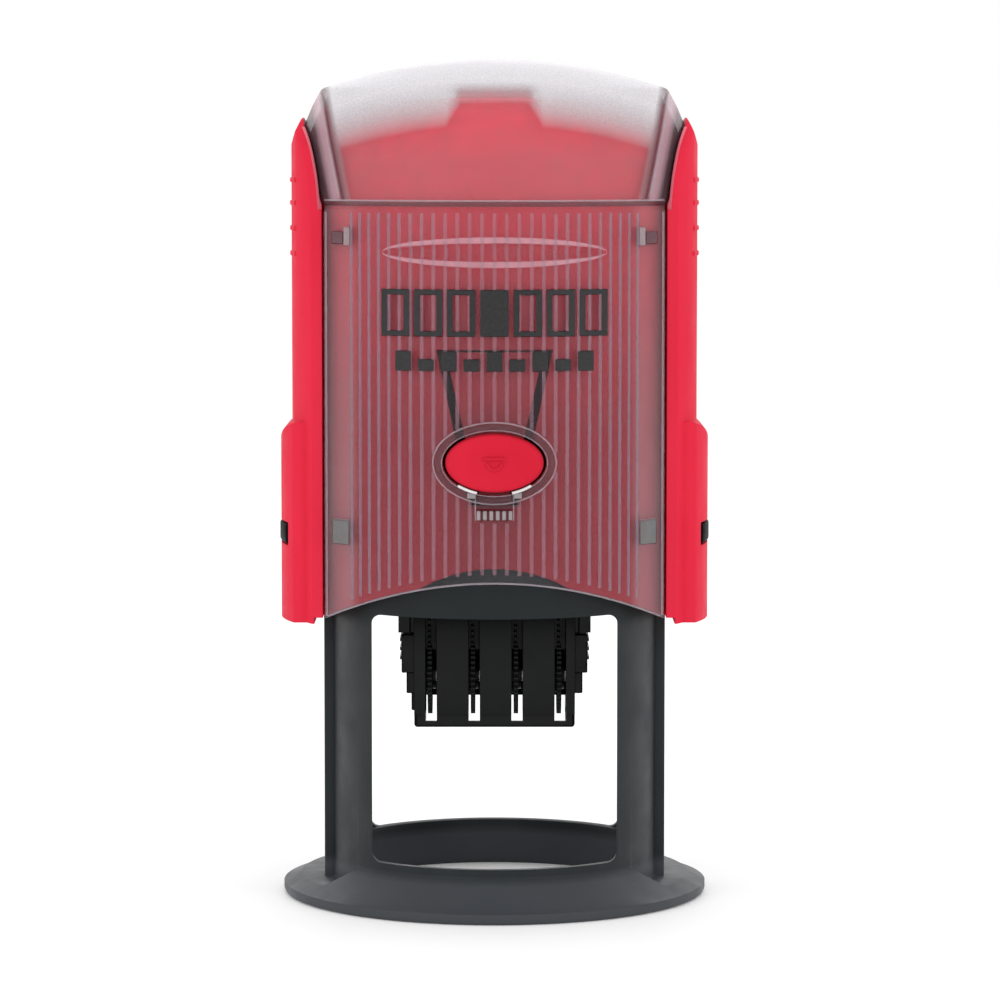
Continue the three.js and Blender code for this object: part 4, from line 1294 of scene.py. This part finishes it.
def make_release_button():
    """The oval release button on its sprung tongue."""
    body = joined(joined(tongue(), oval_knob()), *button_mark())
    key = piece(body, "release_key", "release", [RED_KEY, RED_WALL_PAINTED_SHADE], ["release_button"])
    # The tongue around the oval head takes the red wall's material, with its painted shade.
    for face in key.data.polygons:
        x, _, z = face.center / MM
        across, along = x / BUTTON.half_wide, (z - BUTTON.height) / BUTTON.half_tall
        if across ** 2 + along ** 2 > 1.001:
            face.material_index = 1


def make_lock_buttons():
    """The small lock buttons at the sides, each with three grip lines."""
    z0, z1 = LOCK.height - LOCK.tall / 2, LOCK.height + LOCK.tall / 2
    for sign, side in ((-1, "left"), (1, "right")):
        room = side_box(sign, (LOCK.inner, REACH), (-LOCK.half, LOCK.half), (0, 100))
        body = softened(crossed(cylinder(LOCK.face, z0, z1), room), 0.25)
        lines = [side_box(sign, (LOCK.face - 0.9, REACH), (y - 0.35, y + 0.35), (z0 + 0.5, z1 - 0.5))
                 for y in LOCK.lines]
        body = cut(body, *[softened(line, 0.12) for line in lines])
        piece(body, f"lock_{side}_key", f"lock_{side}", [DARK_KEY], [f"lock_button_{side}"])


# ---------------------------------------------------------------- turning carrier


def lifted(obj):
    """Raises a piece of the turning carrier from the turning axis to its height."""
    for vertex in obj.data.vertices:
        vertex.co.z += AXIS_HEIGHT * MM
    return obj


WHEEL_PLACES = [(i - (WHEEL.count - 1) / 2) * WHEEL.pitch for i in range(WHEEL.count)]


def rod(radius, low, high, y=0, z=0, steps=64):
    return cylinder(radius, low, high, "x", (y, z), steps)


def guard_outline(wall):
    """Side profile of the guard, whose front and back bow out gently."""
    bow, middle, turn, radius = GUARD.bow, GUARD.middle, GUARD.spread, GUARD.bow - wall
    near = arc(bow - GUARD.front, middle, radius, radius, math.pi - turn, math.pi + turn, 48)
    return near + arc(GUARD.back - bow, middle, radius, radius, -turn, turn, 48)


def guard_body():
    """The guard's bowed shell, with a web along its underside."""
    half, inside, low = GUARD.half, GUARD.inside, GUARD.cavity
    outer = crossed(prism(guard_outline(0), -half, half, "x"),
                    box((-half, -REACH, GUARD.shell), (half, REACH, GUARD.top)))
    cavity = crossed(prism(guard_outline(GUARD.wall), -inside, inside, "x"),
                     box((-half, -REACH, low), (half, REACH, 9)))
    web = softened(box((-half, -GUARD.web, GUARD.bottom), (half, GUARD.web, GUARD.web_top)), 0.42, 4)
    room = box((-inside, -GUARD.room, low), (inside, GUARD.room, GUARD.room_top))
    return cut(joined(outer, web), cavity, room)


def guard_ends():
    """Stepped end blocks with grip teeth at the sides."""
    parts = []
    for sign in (-1, 1):
        for outer, low, high, half in GUARD.blocks:
            reach = GUARD.half if sign > 0 and outer < 11 else outer
            parts.append(softened(side_box(sign, (GUARD.ends, reach), (-half, half), (low, high)), 0.18))
        for z in GUARD.teeth:
            grip = (GUARD.grip, GUARD.grip_end)
            parts.append(side_box(sign, grip, (-GUARD.grip_half, GUARD.grip_half), (z - 0.4, z)))
    return parts


def face_depth(z, sunk):
    """Where the guard's bowed front lies at a height, or a little behind it."""
    return GUARD.bow - GUARD.front - math.sqrt((GUARD.bow - sunk) ** 2 - (z - GUARD.middle) ** 2)


def setting_teeth():
    """Small round bumps up each slot of the guard's face, above the wheels, beside a thin upright rib."""
    parts = []
    for x in WHEEL_PLACES:
        for k in range(GUARD.bumps):
            z = GUARD.bump_top - GUARD.bump_pitch * k
            y = face_depth(z, 0.3)
            parts.append(loft([[(a, y + deep, b) for a, b in ellipse(x - 0.08, z, r, r, 12)]
                               for deep, r in GUARD.bump]))
        line = [(face_depth(z, 0.08), z) for z in (-1.6, -3, -5, -7.6)]
        line += [(y + 0.9, z) for y, z in reversed(line)]
        parts.append(prism(line, x + 0.42, x + 0.58, "x"))
    return parts


def guard_openings():
    """What is cut out of the guard: room for the wheels, axle and bridge, and the slots along the wheels."""
    left, right, bar = GUARD.slot_left, GUARD.slot_right, GUARD.bottom + GUARD.bar
    centre = (WHEEL.y, WHEEL.z)
    tools = []
    for x in WHEEL_PLACES:
        tools.append(cylinder(WHEEL.radius + 0.35, x - left, x + right, "x", centre, 96))
        tools.append(box((x - left, -REACH, bar), (x + right, -1.5, GUARD.top - GUARD.rail)))
        tools.append(box((x - left, -REACH, bar), (x + right, REACH, WHEEL.z - DRUM.radius - 1)))
        tools.append(box((x - left, -3.5, -REACH), (x + right, REACH, -16)))
    tools.append(rod(AXLE.radius + GAP, -AXLE.half - GAP, AXLE.half + GAP, *centre))
    half, thick = BRIDGE.half + GAP, BRIDGE.thick + GAP
    tools.append(box((-half, -thick, BRIDGE.bottom - GAP), (half, thick, 9)))
    return tools


def make_guard():
    """The date unit's guard: bowed panels parted by slots, with a bar below and toothed strips above."""
    body = cut(joined(guard_body(), *guard_ends()), *guard_openings())
    strips = [box((x - 0.58, -3.6, -8), (x + 0.88, -2.9, -1.2)) for x in WHEEL_PLACES]
    body = joined(body, *strips, *setting_teeth())
    piece(lifted(body), "date_guard_moulding", "carrier", [DARK], ["date_guard"])


def drum_span(index):
    """Where a wheel's band drum begins and ends along the axle."""
    right = WHEEL_PLACES[index] - WHEEL.thick / 2
    if index == 0:
        return right - GAP - DRUM.narrow, right
    return WHEEL_PLACES[index - 1] + WHEEL.thick / 2 + DRUM.boss_long + GAP, right


def toothed_outline(y, z):
    """The rim of a setting wheel, with fine rounded teeth."""
    teeth, outline = WHEEL.teeth, []
    for turn in turns_of(8 * teeth):
        radius = WHEEL.radius - WHEEL.tooth * (1 - abs(math.cos(teeth * turn / 2)) ** 0.7)
        outline.append((y + radius * math.cos(turn), z + radius * math.sin(turn)))
    return outline


def make_wheel(index):
    """A thin setting wheel with its boss and its band drum."""
    x, y, z = WHEEL_PLACES[index], WHEEL.y, WHEEL.z
    half = WHEEL.thick / 2
    left, right = drum_span(index)
    disc = prism(toothed_outline(y, z), x - half, x + half, "x")
    drum = rod(DRUM.radius, left, right + 0.1, y, z)
    boss = rod(DRUM.boss, x, x + half + DRUM.boss_long, y, z)
    cogs = [rod(0.24, left + 0.1, right - 0.15, a, b, 12)
            for a, b in ellipse(y, z, DRUM.radius - 0.02, DRUM.radius - 0.02, 14)]
    body = cut(joined(disc, drum, boss, *cogs), rod(DRUM.bore, -REACH, REACH, y, z))
    piece(lifted(body), f"setting_wheel_{index + 1}", f"wheel_{index + 1}", [DARK],
          [f"date_wheel_{index + 1}"])


def plate_slot(low, high):
    """The long slot in the middle of the text plate and its cushion, which the date prints through."""
    half, wide = PLATE.slot_long, PLATE.slot_half
    return box((-half, -wide, low), (half, wide, high))


def plate_relief(low, face):
    """The plate's raised parts: two rings, a dotted border and rules, in place of lettering."""
    radius = PLATE.radius
    parts = []
    for outer, inner in PLATE.rings:
        near, far = radius - inner, radius - outer
        parts.append(lathe([(near, low), (far, low), (far - 0.12, face), (near + 0.12, face)]))
    for k, centre in enumerate(ellipse(0, 0, radius - PLATE.border, radius - PLATE.border, PLATE.dots)):
        parts.append(cylinder(PLATE.dot if k % 5 else PLATE.big_dot, low, face, "z", centre, 20))
    for y in PLATE.rules:
        half = 8.2 - 0.35 * abs(y)
        parts.append(box((-half, y, low), (half, y + 0.8, face)))
    return parts


def make_plate():
    """The round text plate: a rubber sheet with its raised parts, joined on one by one."""
    low, face = PLATE.face - PLATE.rubber, PLATE.face
    floor = face - PLATE.relief
    body = cut(softened(cylinder(PLATE.radius, low, floor), 0.1), plate_slot(low - 1, face + 1))
    for part in plate_relief(floor - 0.2, face):
        body = joined(body, part)
    piece(lifted(body), "text_plate_rubber", "carrier", [PLATE_RUBBER], ["text_plate"])


def make_cushion():
    """The foam sheet behind the text plate."""
    low = PLATE.face - PLATE.rubber - GAP - PLATE.foam
    disc = softened(cylinder(PLATE.radius, low, low + PLATE.foam), 0.22, 4)
    body = cut(disc, softened(plate_slot(low - 1, low + 2), 0.3))
    pad = piece(lifted(body), "die_cushion_foam", "carrier", [FOAM], ["die_cushion"])


def finish_cad_nodes():
    """Finishes for the CAD nodes whose shape is kept."""
    kept = {"date_carrier": DARK, "printing_bridge": DARK, "wheel_axle": AXLE_STEEL}
    kept.update({f"date_band_{i + 1}": BAND_RUBBER for i in range(WHEEL.count)})
    for name, material in kept.items():
        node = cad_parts[name]
        node.data.materials.clear()
        node.data.materials.append(material)


# ---------------------------------------------------------------- studio


def area_light(name, place, size, power):
    """A soft rectangular lamp aimed at the object's middle."""
    light = bpy.data.lights.new(name, "AREA")
    light.shape = "RECTANGLE"
    light.size, light.size_y = size
    light.energy = power
    obj = new_object(name, light)
    obj.location = place
    obj.rotation_euler = (Vector(MIDDLE) - Vector(place)).to_track_quat("-Z", "Y").to_euler()


def make_studio():
    """A plain pale floor, a pale surround and soft lamps."""
    corners = [(-FLOOR, -FLOOR, 0), (FLOOR, -FLOOR, 0), (FLOOR, FLOOR, 0), (-FLOOR, FLOOR, 0)]
    floor = mesh_object(corners, [(0, 1, 2, 3)], "floor")
    pale = Finish("floor_pale", (0.9, 0.9, 0.9), 0.6, specular=0.2)
    pale.put(pale.shader, {"Emission Color": (1, 1, 1, 1), "Emission Strength": 0.12})
    tone = pale.mix(pale.patches(60, 2), (0.9, 0.9, 0.9), (0.88, 0.88, 0.885))
    floor.data.materials.append(pale.done(tone, 0.6))
    world = bpy.data.worlds.new("surround")
    world.use_nodes = True
    back = world.node_tree.nodes["Background"]
    back.inputs["Color"].default_value = (1, 1, 1, 1)
    back.inputs["Strength"].default_value = 1.0
    bpy.context.scene.world = world
    for name, (place, size, power) in LAMPS.items():
        area_light(name, place, size, power)


def make_camera():
    """The camera, in front of the object and turned a little down."""
    data = bpy.data.cameras.new("camera")
    data.sensor_width = 36
    data.lens = CAMERA.lens
    data.shift_x = CAMERA.shift
    data.clip_start = 0.01
    camera = new_object("camera", data)
    camera.location = CAMERA.place
    camera.rotation_euler = (math.radians(90 - CAMERA.down), 0, 0)
    bpy.context.scene.camera = camera


# ---------------------------------------------------------------- assembly

make_camera()
make_studio()
make_frame()
make_spring()
make_cassette()
make_felt()
make_cap()
make_hood()
make_ribs()
make_hood_trim()
make_recess_lip()
make_collar()
make_grip_row()
make_hooks()
make_motif()
make_release_button()
make_lock_buttons()
make_guard()
for wheel_index in range(WHEEL.count):
    make_wheel(wheel_index)
make_plate()
make_cushion()
finish_cad_nodes()
bpy.context.scene.view_settings.view_transform = "Standard"
